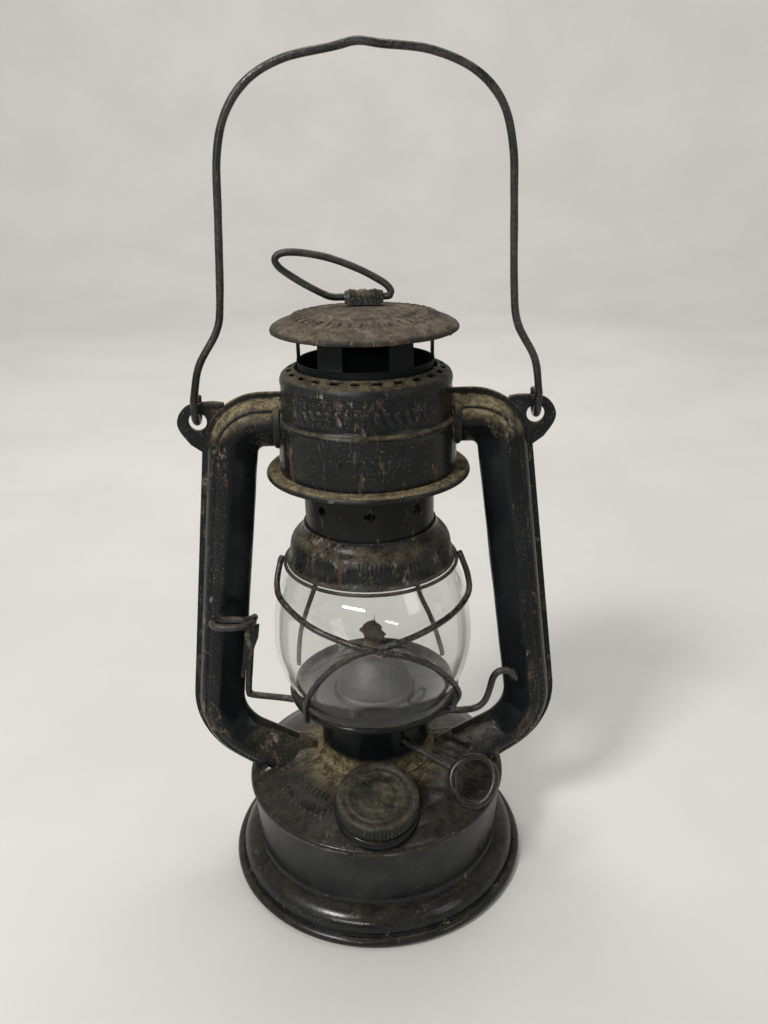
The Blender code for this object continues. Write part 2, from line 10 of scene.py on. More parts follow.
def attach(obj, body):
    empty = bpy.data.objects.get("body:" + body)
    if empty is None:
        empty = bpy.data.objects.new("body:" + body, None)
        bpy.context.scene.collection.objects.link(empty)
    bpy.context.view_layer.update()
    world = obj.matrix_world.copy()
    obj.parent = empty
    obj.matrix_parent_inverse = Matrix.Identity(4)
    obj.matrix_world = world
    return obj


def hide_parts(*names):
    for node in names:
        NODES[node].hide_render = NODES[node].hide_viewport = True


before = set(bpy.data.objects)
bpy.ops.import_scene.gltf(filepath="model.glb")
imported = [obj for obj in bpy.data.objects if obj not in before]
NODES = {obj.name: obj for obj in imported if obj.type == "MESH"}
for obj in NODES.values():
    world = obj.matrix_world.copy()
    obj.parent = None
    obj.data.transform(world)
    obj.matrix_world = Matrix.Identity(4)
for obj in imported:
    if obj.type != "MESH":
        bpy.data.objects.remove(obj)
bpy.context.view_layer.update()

MM = 0.001
FULL_TURN = math.tau


# ---------------------------------------------------------------- outlines, all in millimetres

def arc(centre_r, centre_z, radius, start, end, count):
    """Points of an arc, angles in degrees from the outward direction."""
    points = []
    for index in range(count + 1):
        angle = math.radians(start + (end - start) * index / count)
        points.append((centre_r + radius * math.cos(angle), centre_z + radius * math.sin(angle)))
    return points


def rounded(points, radius=0.5, count=4):
    """An open outline with its corners turned on a small radius."""
    knots = [Vector(p) for p in points]
    run = [knots[0]]
    for before, here, after in zip(knots, knots[1:], knots[2:]):
        back, ahead = before - here, after - here
        reach = min(radius, back.length * 0.45, ahead.length * 0.45)
        first, last = here + back.normalized() * reach, here + ahead.normalized() * reach
        for index in range(count + 1):
            t = index / count
            run.append(first * (1 - t) ** 2 + here * (2 * t * (1 - t)) + last * t * t)
    run.append(knots[-1])
    return run


def flowing(points, per_span=6, closed=False):
    """A smooth run of points through the given ones."""
    knots = [Vector(p) for p in points]
    count = len(knots)
    run = []
    for index in range(count if closed else count - 1):
        if closed:
            a, b, c, d = (knots[(index + k) % count] for k in (-1, 0, 1, 2))
        else:
            b, c = knots[index], knots[index + 1]
            a = knots[index - 1] if index > 0 else b * 2 - c
            d = knots[index + 2] if index + 2 < count else c * 2 - b
        for step in range(per_span):
            t = step / per_span
            run.append(0.5 * (2 * b + (c - a) * t + (2 * a - 5 * b + 4 * c - d) * t * t
                              + (3 * b - a - 3 * c + d) * t ** 3))
    if not closed:
        run.append(knots[-1])
    return run


def spaced(points, step, closed=False):
    """The run with its long spans split, so that no two neighbours are further apart than step."""
    knots = [Vector(p) for p in points]
    if closed:
        knots.append(knots[0])
    run = []
    for here, after in zip(knots, knots[1:]):
        count = max(1, math.ceil((after - here).length / step))
        run += [here.lerp(after, index / count) for index in range(count)]
    if not closed:
        run.append(knots[-1])
    return run


def walled(outline, wall):
    """A closed outline of sheet, its thickness inside an outline that runs down and outwards."""
    knots = [Vector(p) for p in outline]
    inner = []
    for index, here in enumerate(knots):
        ahead = knots[min(index + 1, len(knots) - 1)] - knots[max(index - 1, 0)]
        ahead.normalize()
        inner.append(here - Vector((-ahead.y, ahead.x)) * wall)
    for point in inner:
        point.x = max(point.x, 0.0)
    return knots + inner[::-1]


def contour(points, corner, step):
    """An outline with its corners rounded and its long spans split."""
    return spaced(rounded(points, corner), step)


def sheet(points, corner, step, wall):
    """The closed outline of a formed sheet."""
    return walled(contour(points, corner, step), wall)


def ripple(point, size, seed=0.0):
    """Smooth noise between -1 and 1 with features of about that size."""
    return noise.noise(Vector(point) / size + Vector((seed, seed * 1.7, seed * 0.3)))


def smooth(value, low, high):
    """0 below low, 1 above high, and an even rise between."""
    t = min(max((value - low) / (high - low), 0.0), 1.0)
    return t * t * (3 - 2 * t)


# ---------------------------------------------------------------- meshes

def from_bmesh(name, shape, finishes, corner=50.0):
    """Turn a bmesh into an object with its materials, smooth except at corners."""
    bmesh.ops.recalc_face_normals(shape, faces=shape.faces)
    data = bpy.data.meshes.new(name)
    shape.to_mesh(data)
    shape.free()
    data.shade_smooth()
    data.set_sharp_from_angle(angle=math.radians(corner))
    item = bpy.data.objects.new(name, data)
    bpy.context.scene.collection.objects.link(item)
    for finish in finishes if isinstance(finishes, (list, tuple)) else [finishes]:
        data.materials.append(finish)
    return item


def assign(shape, which):
    """Give each face the material that which(middle in millimetres, normal) picks."""
    if which is None:
        return
    bmesh.ops.recalc_face_normals(shape, faces=shape.faces)
    for face in shape.faces:
        face.material_index = which(face.calc_center_median() / MM, face.normal)


def lathe(name, loop, finishes, steps=192, wave=0.10, form=None, which=None, corner=50.0):
    """Spin a closed outline of (radius, height) about Z.

    wave is how uneven the sheet is; form moves a point, given (radius, height, degrees); which picks a
    face's material, given its middle and its normal.
    """
    shape = bmesh.new()
    columns = []
    for index in range(steps):
        angle = FULL_TURN * index / steps
        c, s = math.cos(angle), math.sin(angle)
        column = []
        for r, z in loop:
            push = wave * ripple((r * c, r * s, z), 24.0, 2.3) * min(1.0, r / 10)
            r2, z2 = r + push, z
            if form is not None:
                r2, z2 = form(r + push, z, math.degrees(angle))
            column.append(shape.verts.new((r2 * c * MM, r2 * s * MM, z2 * MM)))
        columns.append(column)
    count = len(loop)
    for index in range(steps):
        here, after = columns[index], columns[(index + 1) % steps]
        for k in range(count):
            n = (k + 1) % count
            shape.faces.new((here[k], after[k], after[n], here[n]))
    if min(r for r, z in loop) < 0.001:
        bmesh.ops.remove_doubles(shape, verts=[v for v in shape.verts if v.co.xy.length < 0.00001],
                                 dist=0.00002)
        bmesh.ops.dissolve_degenerate(shape, dist=0.000001, edges=shape.edges)
    assign(shape, which)
    return from_bmesh(name, shape, finishes, corner)


def loft(name, rings, finishes, closed=False, corner=50.0, which=None):
    """A skin through rings of equal count, with its ends filled unless it closes on itself."""
    shape = bmesh.new()
    rows = [[shape.verts.new(Vector(p) * MM) for p in ring] for ring in rings]
    count = len(rows[0])
    pairs = list(zip(rows, rows[1:])) + ([(rows[-1], rows[0])] if closed else [])
    for lower, upper in pairs:
        for index in range(count):
            after = (index + 1) % count
            shape.faces.new((lower[index], lower[after], upper[after], upper[index]))
    if not closed:
        shape.faces.new(rows[0])
        shape.faces.new(rows[-1])
    assign(shape, which)
    return from_bmesh(name, shape, finishes, corner)


def wire_rings(points, radius, sides, closed=False, rough=0.03, taper=None):
    """Round sections along a run of points, carried along it without twist."""
    knots = [Vector(p) for p in points]
    count = len(knots)
    ahead = []
    for index in range(count):
        if closed:
            span = knots[(index + 1) % count] - knots[index - 1]
        else:
            span = knots[min(index + 1, count - 1)] - knots[max(index - 1, 0)]
        ahead.append(span.normalized())
    side = ahead[0].orthogonal().normalized()
    frames = [side]
    for before, here in zip(ahead, ahead[1:]):
        side = before.rotation_difference(here) @ side
        frames.append((side - here * side.dot(here)).normalized())
    twist = 0.0
    if closed:
        back = ahead[-1].rotation_difference(ahead[0]) @ frames[-1]
        twist = math.atan2(back.cross(frames[0]).dot(ahead[0]), back.dot(frames[0]))
    rings = []
    for index, (here, way, side) in enumerate(zip(knots, ahead, frames)):
        turn = Matrix.Rotation(twist * index / count, 3, way)
        u = turn @ side
        v = way.cross(u)
        size = radius * (1 + rough * ripple(here, 7.0, 5.1))
        if taper is not None:
            size *= taper(index / (count - 1))
        rings.append([here + (u * math.cos(a) + v * math.sin(a)) * size
                      for a in (FULL_TURN * k / sides for k in range(sides))])
    return rings


def wire(name, points, radius, finish, closed=False, sides=16, rough=0.03):
    """A round wire with slightly worn ends."""
    rings = wire_rings(points, radius, sides, closed, rough)
    if not closed:
        for end, inner in ((0, 1), (-1, -2)):
            tip = sum(rings[end], Vector()) / sides
            way = (tip - sum(rings[inner], Vector()) / sides).normalized()
            lips = []
            for grow, out in ((0.92, 0.12), (0.70, 0.26), (0.40, 0.34)):
                lips.append([tip + (p - tip) * grow + way * radius * out for p in rings[end]])
            if end == 0:
                rings = lips[::-1] + rings
            else:
                rings = rings + lips
    return loft(name, rings, finish, closed)


def boxes(parts):
    """Cutters: boxes given as (centre, size, degrees about Z) or bars as (radius, start, end, sides)."""
    shape = bmesh.new()
    for part in parts:
        if len(part) == 3:
            centre, size, degrees = part
            made = bmesh.ops.create_cube(shape, size=1.0)["verts"]
            bmesh.ops.scale(shape, vec=Vector(size) * MM, verts=made)
            move = Matrix.Translation(Vector(centre) * MM) @ Matrix.Rotation(math.radians(degrees), 4, "Z")
        else:
            radius, start, end, sides = part
            start, end = Vector(start) * MM, Vector(end) * MM
            made = bmesh.ops.create_cone(shape, cap_ends=True, segments=sides, radius1=radius * MM,
                                         radius2=radius * MM, depth=(end - start).length)["verts"]
            turn = (end - start).to_track_quat("Z", "Y").to_matrix().to_4x4()
            move = Matrix.Translation((start + end) / 2) @ turn
        bmesh.ops.transform(shape, matrix=move, verts=made)
    data = bpy.data.meshes.new("cutter")
    shape.to_mesh(data)
    shape.free()
    tool = bpy.data.objects.new("cutter", data)
    bpy.context.scene.collection.objects.link(tool)
    return tool


def settle(item, corner=35.0):
    """Apply an object's modifiers."""
    bpy.context.view_layer.update()
    seen = item.evaluated_get(bpy.context.evaluated_depsgraph_get())
    data = bpy.data.meshes.new_from_object(seen)
    item.modifiers.clear()
    item.data = data
    data.shade_smooth()
    data.set_sharp_from_angle(angle=math.radians(corner))


def spokes(radius, inner, outer, height, sides, count, first=0.0):
    """Round cutters that point away from the axis, the first one turned by so many spaces."""
    bars = []
    for index in range(count):
        angle = FULL_TURN * (index + first) / count
        ahead, lift = Vector((math.cos(angle), math.sin(angle), 0)), Vector((0, 0, height))
        bars.append((radius, ahead * inner + lift, ahead * outer + lift, sides))
    return bars


def carve(item, parts):
    """Cut boxes and round holes out of an object."""
    tool = boxes(parts)
    step = item.modifiers.new("cut", "BOOLEAN")
    step.solver = "EXACT"
    step.object = tool
    settle(item)
    bpy.data.objects.remove(tool)


def bevel(item, width, segments, limit):
    """Round an object's corners where they turn by more than limit degrees."""
    edges = item.modifiers.new("edges", "BEVEL")
    edges.width = width * MM
    edges.segments = segments
    edges.limit_method = "ANGLE"
    edges.angle_limit = math.radians(limit)


def show(item, body, slot, *nodes):
    """Let a piece ride on a body and stand for its CAD nodes."""
    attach(item, body)
    if nodes:
        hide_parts(*nodes)
    return item


# ---------------------------------------------------------------- finishes

class Finish:
    """One procedural material, built from nodes that read the object's own coordinates."""

    def __init__(self, name, seed=0.0):
        self.material = bpy.data.materials.new(name)
        self.material.use_nodes = True
        self.tree = self.material.node_tree
        self.shader = self.tree.nodes["Principled BSDF"]
        self.seed = seed
        self.coords = self.tree.nodes.new("ShaderNodeTexCoord")
        split = self.tree.nodes.new("ShaderNodeSeparateXYZ")
        self.join(split.inputs[0], self.coords.outputs["Object"])
        self.x, self.y, self.z = split.outputs
        facing = self.tree.nodes.new("ShaderNodeSeparateXYZ")
        self.join(facing.inputs[0], self.coords.outputs["Normal"])
        self.up = facing.outputs[2]

    def join(self, socket, value):
        if isinstance(value, bpy.types.NodeSocket):
            self.tree.links.new(value, socket)
        else:
            socket.default_value = value

    def set(self, name, value):
        self.join(self.shader.inputs[name], value)

    def noise(self, scale, detail=3.0, rough=0.55, stretch=(1, 1, 1), distort=0.0):
        """Noise with that many features per metre."""
        self.seed += 1.37
        move = self.tree.nodes.new("ShaderNodeMapping")
        move.inputs["Scale"].default_value = stretch
        move.inputs["Location"].default_value = (self.seed, self.seed * 0.61, -self.seed * 0.83)
        self.join(move.inputs["Vector"], self.coords.outputs["Object"])
        made = self.tree.nodes.new("ShaderNodeTexNoise")
        made.inputs["Scale"].default_value = scale
        made.inputs["Detail"].default_value = detail
        made.inputs["Roughness"].default_value = rough
        made.inputs["Distortion"].default_value = distort
        self.join(made.inputs["Vector"], move.outputs[0])
        return made.outputs[0]

    def step(self, value, low, high, to_low=0.0, to_high=1.0):
        made = self.tree.nodes.new("ShaderNodeMapRange")
        made.interpolation_type = "SMOOTHSTEP"
        for socket, number in zip(made.inputs, (value, low, high, to_low, to_high)):
            self.join(socket, number)
        return made.outputs[0]

    def math(self, operation, a, b=0.0, clamp=False):
        made = self.tree.nodes.new("ShaderNodeMath")
        made.operation = operation
        made.use_clamp = clamp
        self.join(made.inputs[0], a)
        self.join(made.inputs[1], b)
        return made.outputs[0]

    def add(self, a, b, clamp=False):
        return self.math("ADD", a, b, clamp)

    def times(self, a, b, clamp=False):
        return self.math("MULTIPLY", a, b, clamp)

    def mix(self, factor, a, b):
        made = self.tree.nodes.new("ShaderNodeMix")
        made.data_type = "RGBA"
        self.join(made.inputs[0], factor)
        self.join(made.inputs[6], (*a, 1.0) if isinstance(a, tuple) else a)
        self.join(made.inputs[7], (*b, 1.0) if isinstance(b, tuple) else b)
        return made.outputs[2]

    def radius(self):
        """Distance from the lantern's axis, in metres."""
        return self.math("SQRT", self.add(self.times(self.x, self.x), self.times(self.y, self.y)))

    def bump(self, height, distance, strength=1.0):
        made = self.tree.nodes.new("ShaderNodeBump")
        made.inputs["Strength"].default_value = strength
        made.inputs["Distance"].default_value = distance
        self.join(made.inputs["Height"], height)
        self.set("Normal", made.outputs[0])


BLACK = (0.0034, 0.0041, 0.0046)
RUST_DARK = (0.024, 0.0145, 0.009)
RUST_LIGHT = (0.066, 0.044, 0.029)
BARE = (0.175, 0.158, 0.128)
DUST_DARK = (0.048, 0.038, 0.021)
DUST_LIGHT = (0.225, 0.185, 0.105)
ASH_DARK = (0.066, 0.053, 0.040)
ASH_LIGHT = (0.165, 0.135, 0.100)
# Bluish-grey film: partly real haze, partly painted sheen standing in for the cool reflection on black
# enamel.
FILM_AND_SHEEN = (0.034, 0.040, 0.043)


def enamel(name, dust=0.5, wear=0.5, gloss=0.34, seed=0.0, streak=0.35, haze=0.25, settled=None, ash=False,
           grit=0.4, shine=0.22):
    """Black enamel: chipped to brown rust and bare steel, dusty where it faces up, and filmed in patches that
    are partly haze and, outside the ash finishes, partly a painted bluish-grey sheen.

    settled(finish) may give one more dust mask, where dust has gathered in a hollow.
    """
    f = Finish("enamel_" + name, seed)
    tall = (1, 1, streak)
    broad = f.noise(30, 4, 0.6)
    blotch = f.noise(130, 5, 0.68, tall)
    speck = f.noise(560, 5, 0.72, tall)
    tiny = f.noise(1500, 3, 0.65)
    grain = f.noise(3600, 2, 0.6)
    pits = f.add(f.times(blotch, 0.58), f.times(speck, 0.42))
    edge = 0.650 - 0.105 * wear
    chip = f.step(pits, edge, edge + 0.03)
    fleck = f.times(f.step(tiny, 0.69 - 0.075 * wear, 0.73 - 0.075 * wear), f.step(broad, 0.38, 0.58))
    rust = f.mix(f.step(tiny, 0.35, 0.65), RUST_DARK, RUST_LIGHT)
    bare = f.mix(f.step(f.noise(240, 4), 0.50, 0.68), rust, BARE)
    body = f.mix(f.step(broad, 0.3, 0.7), BLACK, tuple(2.4 * c for c in BLACK))
    colour = f.mix(f.times(chip, 0.9), body, bare)
    colour = f.mix(f.times(fleck, 0.6), colour, BARE)
    # Film patches are ash where ash is set. Otherwise they are partly haze and partly painted bluish-grey
    # sheen, in an amount set by haze.
    film = f.times(f.step(f.noise(75, 5, 0.7), 0.35, 0.75), haze)
    colour = f.mix(f.times(film, 0.6, True), colour, ASH_DARK if ash else FILM_AND_SHEEN)
    lying = f.times(f.step(f.up, 0.30, 0.96), f.step(f.noise(95, 5, 0.65), 0.28, 0.62, 0.35, 1.0))
    dusty = f.add(f.times(lying, dust), f.times(film, 0.12), True)
    if settled is not None:
        dusty = f.add(dusty, settled(f), True)
    dusty = f.times(dusty, f.step(grain, 0.25, 0.55, 0.72, 1.0), True)
    low, high = (ASH_DARK, ASH_LIGHT) if ash else (DUST_DARK, DUST_LIGHT)
    heaps = f.add(f.times(f.noise(900, 4, 0.7), 0.5), f.times(f.noise(260, 4, 0.6), 0.5))
    powder = f.mix(f.step(heaps, 0.40, 0.60), low, high)
    f.set("Base Color", f.mix(dusty, colour, powder))
    rough = f.add(f.times(chip, 0.30), f.times(dusty, 0.55))
    rough = f.add(rough, f.step(broad, 0.3, 0.7, gloss - 0.05, gloss + 0.10))
    rough = f.add(rough, f.times(f.add(tiny, -0.5), 0.25))
    f.set("Roughness", f.math("MINIMUM", rough, 0.95))
    f.set("Specular IOR Level", shine)
    height = f.add(f.times(chip, -0.7), f.times(f.noise(420, 3), 0.30))
    height = f.add(height, f.times(f.times(f.add(grain, tiny), dusty), 0.55))
    height = f.add(height, f.times(f.add(tiny, speck), grit))
    f.bump(height, 0.00011, 0.8)
    return f.material


def dark_wire(name, seed, rust=0.4, dust=0.35, gloss=0.38):
    """Drawn steel wire, once black, with rust and grime in patches."""
    f = Finish(name, seed)
    patch = f.noise(160, 5, 0.7)
    speck = f.noise(900, 4, 0.7)
    fine = f.noise(2600, 3, 0.6)
    body = f.mix(f.step(f.noise(60, 4), 0.35, 0.65), BLACK, (0.028, 0.028, 0.029))
    chip = f.step(f.add(f.times(patch, 0.5), f.times(speck, 0.5)), 0.60 - 0.12 * rust, 0.66 - 0.12 * rust)
    colour = f.mix(f.times(chip, 0.9), body, f.mix(f.step(fine, 0.4, 0.6), RUST_DARK, RUST_LIGHT))
    fleck = f.step(fine, 0.68, 0.72)
    colour = f.mix(f.times(fleck, 0.6), colour, BARE)
    dusty = f.times(f.step(f.up, 0.1, 0.9), f.step(f.noise(220, 4, 0.7), 0.40, 0.66, 0.0, dust))
    powder = f.mix(f.step(speck, 0.4, 0.62), DUST_DARK, DUST_LIGHT)
    f.set("Base Color", f.mix(dusty, colour, powder))
    f.set("Metallic", f.times(f.math("SUBTRACT", 1.0, f.add(chip, dusty, True)), 0.15))
    rough = f.add(f.times(chip, 0.35), f.times(dusty, 0.4))
    rough = f.add(rough, f.step(patch, 0.3, 0.7, gloss - 0.08, gloss + 0.1))
    f.set("Roughness", f.math("MINIMUM", rough, 0.95))
    f.bump(f.add(f.add(f.times(chip, 0.8), f.times(speck, 0.8)), f.times(fine, 0.6)), 0.00012, 0.9)
    return f.material


def galvanised(name, seed, dark=1.0):
    """Dull zinc with faint spangles and smoke film."""
    f = Finish(name, seed)
    cells = f.tree.nodes.new("ShaderNodeTexVoronoi")
    cells.inputs["Scale"].default_value = 260
    f.join(cells.inputs["Vector"], f.coords.outputs["Object"])
    spangle = f.tree.nodes.new("ShaderNodeSeparateColor")
    f.join(spangle.inputs[0], cells.outputs["Color"])
    smoke = f.step(f.noise(70, 5, 0.65), 0.3, 0.7)
    fine = f.noise(1400, 4, 0.65)
    base = f.mix(f.step(spangle.outputs[0], 0.0, 1.0, 0.2, 0.8), (0.13 * dark,) * 3,
                 (0.24 * dark, 0.24 * dark, 0.235 * dark))
    base = f.mix(f.times(smoke, 0.6), base, (0.045 * dark, 0.042 * dark, 0.038 * dark))
    spot = f.step(f.noise(520, 5, 0.7), 0.60, 0.67)
    f.set("Base Color", f.mix(f.times(spot, 0.8), base, RUST_DARK))
    f.set("Metallic", f.times(f.math("SUBTRACT", 1.0, f.add(spot, f.times(smoke, 0.5), True)), 0.55))
    f.set("Roughness", f.add(f.step(fine, 0.3, 0.7, 0.40, 0.58), f.times(smoke, 0.15)))
    f.bump(f.add(fine, f.times(spot, 0.8)), 0.00008, 0.7)
    return f.material


def glass(name):
    """Old clear glass, faintly grey, with a little film on it."""
    f = Finish(name, 4.0)
    film = f.step(f.noise(55, 4, 0.6), 0.42, 0.78)
    speck = f.step(f.noise(900, 3, 0.6), 0.70, 0.76)
    f.set("Base Color", f.mix(f.add(f.times(film, 0.5), f.times(speck, 0.3), True), (0.885, 0.895, 0.885),
                              (0.80, 0.80, 0.77)))
    f.set("Roughness", f.add(f.times(film, 0.05), f.times(speck, 0.25)))
    f.set("Transmission Weight", 1.0)
    f.set("IOR", 1.46)
    f.bump(f.noise(24, 1, 0.3), 0.0003, 0.04)
    return f.material


def cotton(name):
    """Woven wick, charred black-brown towards its top."""
    f = Finish(name, 9.0)
    weave = f.tree.nodes.new("ShaderNodeTexWave")
    weave.wave_type = "BANDS"
    weave.bands_direction = "Z"
    weave.inputs["Scale"].default_value = 320
    weave.inputs["Distortion"].default_value = 2.0
    weave.inputs["Detail Scale"].default_value = 3.0
    f.join(weave.inputs["Vector"], f.coords.outputs["Object"])
    fuzz = f.noise(1500, 4, 0.7)
    char = f.add(f.step(f.z, 0.097, 0.103), f.times(f.add(fuzz, -0.5), 0.3), True)
    thread = f.mix(f.step(weave.outputs[1], 0.2, 0.8), (0.10, 0.075, 0.045), (0.22, 0.175, 0.115))
    burnt = f.mix(f.step(f.noise(420, 4, 0.7), 0.38, 0.66), (0.012, 0.009, 0.006), (0.062, 0.042, 0.026))
    f.set("Base Color", f.mix(char, thread, burnt))
    f.set("Roughness", 0.95)
    f.bump(f.add(weave.outputs[1], f.times(fuzz, 1.4)), 0.0003, 0.9)
    return f.material


def washer_rubber(name):
    """Dull black rubber with a dusty bloom."""
    f = Finish(name, 2.0)
    bloom = f.step(f.noise(400, 4), 0.4, 0.7)
    f.set("Base Color", f.mix(f.times(bloom, 0.4), (0.012, 0.012, 0.012), (0.055, 0.052, 0.047)))
    f.set("Roughness", f.step(bloom, 0, 1, 0.6, 0.85))
    f.bump(f.noise(1800, 3), 0.0001, 0.5)
    return f.material


def near_radius(low, high, amount):
    """A dust mask that is full inside one radius and gone outside another, in metres."""
    def mask(f):
        near = f.step(f.radius(), high, low)
        return f.times(near, f.times(f.step(f.noise(120, 5, 0.7), 0.3, 0.6, 0.3, 1.0), amount))
    return mask


def in_band(low, high, soft, amount, up_from=-2.0):
    """A dust mask between two heights, in metres."""
    def mask(f):
        band = f.times(f.step(f.z, low - soft, low), f.step(f.z, high + soft, high))
        patch = f.step(f.noise(110, 5, 0.7), 0.3, 0.62, 0.25, 1.0)
        return f.times(f.times(band, patch), f.times(f.step(f.up, up_from, up_from + 0.5), amount))
    return mask


SMOOTH = enamel("foot", dust=0.11, wear=0.60, gloss=0.19, seed=1, haze=0.22, grit=0.14, shine=0.30)
WALL = enamel("wall", dust=0.0, wear=0.12, gloss=0.30, seed=20, haze=0.55, grit=0.05, shine=0.30)
TOP = enamel("tank_top", dust=0.12, wear=0.60, gloss=0.19, seed=3, haze=0.34, grit=0.35, shine=0.32,
             settled=near_radius(0.025, 0.039, 0.80))
WORN = enamel("worn", dust=0.75, wear=1.05, gloss=0.20, seed=5, haze=0.08, shine=0.20, streak=0.28,
              grit=0.5)
TUBE = enamel("tube", dust=0.60, wear=1.00, gloss=0.20, seed=8, haze=0.06, shine=0.17,
              settled=in_band(0.196, 0.215, 0.006, 0.85, 0.0))
SLEEK = enamel("gloss", dust=0.10, wear=0.15, gloss=0.13, seed=11, haze=0.02, grit=0.08, shine=0.16)
DUSTY = enamel("dusty", dust=1.15, wear=0.55, gloss=0.45, seed=14, haze=0.45)
CAPPED = enamel("cap", dust=0.84, wear=1.20, gloss=0.55, seed=17, haze=0.7, ash=True, grit=0.7)
BELL = enamel("bell", dust=0.45, wear=1.30, gloss=0.25, seed=23, haze=0.30, streak=0.25, grit=0.8)
STACK = enamel("stack", dust=0.3, wear=0.75, gloss=0.36, seed=26, haze=0.10, shine=0.14, ash=True,
               grit=0.6)
LIP = enamel("lip", dust=0.9, wear=0.9, gloss=0.60, seed=29, haze=2.0)
# Clean black without dust or ash: soot on the stack's inner faces, painted shade on its top outside under the
# cap.
SOOT_AND_SHADE = enamel("soot_and_shade", dust=0.0, wear=0.1, gloss=0.55, seed=80, haze=0.0, grit=0.3, shine=0.12)
# Seam band: heavy chipping to bare steel, partly real edge wear and partly a painted highlight line along the
# seam.
SEAM_WEAR_AND_HIGHLIGHT = enamel("seam", dust=0.3, wear=2.1, gloss=0.24, seed=83, haze=0.2, streak=1.0, grit=0.2)
CAPFACE = enamel("filler", dust=0.24, wear=0.60, gloss=0.33, seed=60, haze=1.10, grit=0.4)
LID = enamel("lid", dust=0.62, wear=0.90, gloss=0.34, seed=63, haze=0.25)
RIM = enamel("rim", dust=0.45, wear=0.75, gloss=0.28, seed=66, haze=0.22)
COLLAR = enamel("collar", dust=0.5, wear=0.12, gloss=0.20, seed=70, haze=0.0, shine=0.12,
                settled=in_band(0.0505, 0.056, 0.004, 0.9))
DARK_WIRE = dark_wire("wire_dark", 31)
BAIL_FINISH = dark_wire("wire_bail", 77, rust=0.62, dust=0.3, gloss=0.26)
WORN_WIRE = dark_wire("wire_worn", 37, rust=0.75, dust=0.5)
GUARD_FINISH = dark_wire("wire_guard", 41, rust=0.60, dust=0.6, gloss=0.24)
LIFT_FINISH = dark_wire("wire_lift", 47, rust=0.5, dust=0.5, gloss=0.26)
ZINC = galvanised("zinc", 50)
SMOKED = galvanised("zinc_smoked", 55, 0.36)
GLASS = glass("globe_glass")
WICK = cotton("wick_cotton")
RUBBER = washer_rubber("washer_rubber")


# ---------------------------------------------------------------- tank

FILLER_Y = -41.8
FILLER_Z = 57.6
FILLER_TILT = math.radians(14.0)
KNURLS = 66


def tick(degrees, pitch, share):
    """1 on a pressed mark and 0 between marks, which repeat every pitch degrees."""
    phase = abs((degrees / pitch) % 1.0 - 0.5) * 2
    return 1.0 - smooth(phase, share, share + 0.22)


def line_height(x, y, start, end, half, lift):
    """How far a pressed ridge between two points raises the sheet at (x, y)."""
    start, end, here = Vector(start), Vector(end), Vector((x, y))
    span = end - start
    t = min(max((here - start).dot(span) / span.length_squared, 0.0), 1.0)
    return lift * (1.0 - smooth((here - start - span * t).length, 0.0, half))


def tank_top_form(r, z, degrees):
    """Pressed ridges beside the tube roots, a saddle under each tube, and two rows of dashes."""
    x, y = r * math.cos(math.radians(degrees)), r * math.sin(math.radians(degrees))
    rise = 0.0
    for side in (-1, 1):
        for face in (-1, 1):
            long = line_height(x, y, (side * 49.0, face * 8.5), (side * 27.0, face * 3.6), 1.6, 1.0)
            short = line_height(x, y, (side * 38.0, face * 13.0), (side * 24.5, face * 7.0), 1.3, 0.5)
            rise = max(rise, long, short)
    saddle = (1.0 - smooth(abs(y), 2.0, 10.0)) * (1.0 - smooth(abs(abs(x) - 38.0), 4.0, 14.0)) * 1.6
    left = degrees % 360.0
    marks = 0.0
    for low, high, reach in ((207.0, 241.0, 44.5), (212.0, 237.0, 38.0)):
        if low < left < high and abs(r - reach) < 2.4:
            marks = max(marks, 0.5 * tick(left, 3.4, 0.40) * (1.0 - smooth(abs(r - reach), 1.3, 2.2)))
    return r, z + rise + saddle + marks


def make_tank():
    """The tank wall on its flared foot, its bottom and its pressed top."""
    wall = [(54.9, 39.9), (55.0, 39.2), (54.5, 38.6), (52.6, 13.2)]
    flare = arc(52.8, 3.6, 8.1, 86, 12, 14)
    groove = [(60.75, 4.6), (60.9, 4.0)]
    bead = arc(62.0, 2.0, 2.0, 118, -90, 12)
    outline = rounded(wall, 0.4) + flare + groove + bead + [(59.6, 0.0)]

    # Above 38.3 mm the seam band takes the worn seam finish, whose bare streaks are partly a painted
    # highlight line.
    def by_height(middle, normal):
        if middle.z > 38.3:
            return 2
        return 1 if middle.z > 13.5 else 0

    wall = lathe("tank_wall", walled(spaced(outline, 1.4), 0.6), [SMOOTH, WALL, SEAM_WEAR_AND_HIGHLIGHT], 256, 0.14,
                 which=by_height)
    show(wall, "frame", "enamel", "tank_shell")
    base = [(51.4, 19.0), (51.4, 13.0), (49.0, 12.0), (43.0, 14.0), (0.0, 15.0)]
    show(lathe("tank_floor", sheet(base, 0.8, 3.0, 0.6), SMOOTH, 128), "frame", "enamel", "tank_bottom")
    dome = [(12.5, 51.6), (25.0, 51.0), (34.0, 49.2), (42.0, 46.9), (48.5, 44.4), (53.4, 41.9), (55.1, 41.2),
            (55.4, 40.2)]
    top = lathe("tank_cover", sheet(dome, 0.8, 0.55, 0.6), TOP, 512, 0.12, tank_top_form)
    carve(top, [(14.3, filler_axis(30), filler_axis(-5), 48)])
    show(top, "frame", "enamel", "tank_top")
    seat = [(15.9, -7.6), (16.6, -7.9), (17.0, -8.7), (17.2, -9.6), (16.9, -13.5), (14.4, -13.5),
            (14.4, -7.6)]
    ring = lathe("filler_seat", contour(seat, 0.4, 1.0), SLEEK, 128, 0.05)
    ring.matrix_world = to_filler()
    show(ring, "frame", "enamel")


def filler_axis(distance):
    """A point on the filler's tilted axis, so far below the middle of the cap's top."""
    return 0.0, FILLER_Y + distance * math.sin(FILLER_TILT), FILLER_Z - distance * math.cos(FILLER_TILT)


def to_filler():
    """The place of a piece turned about Z whose zero height is the filler cap's top."""
    return Matrix.Translation(Vector(filler_axis(0)) * MM) @ Matrix.Rotation(FILLER_TILT, 4, "X")


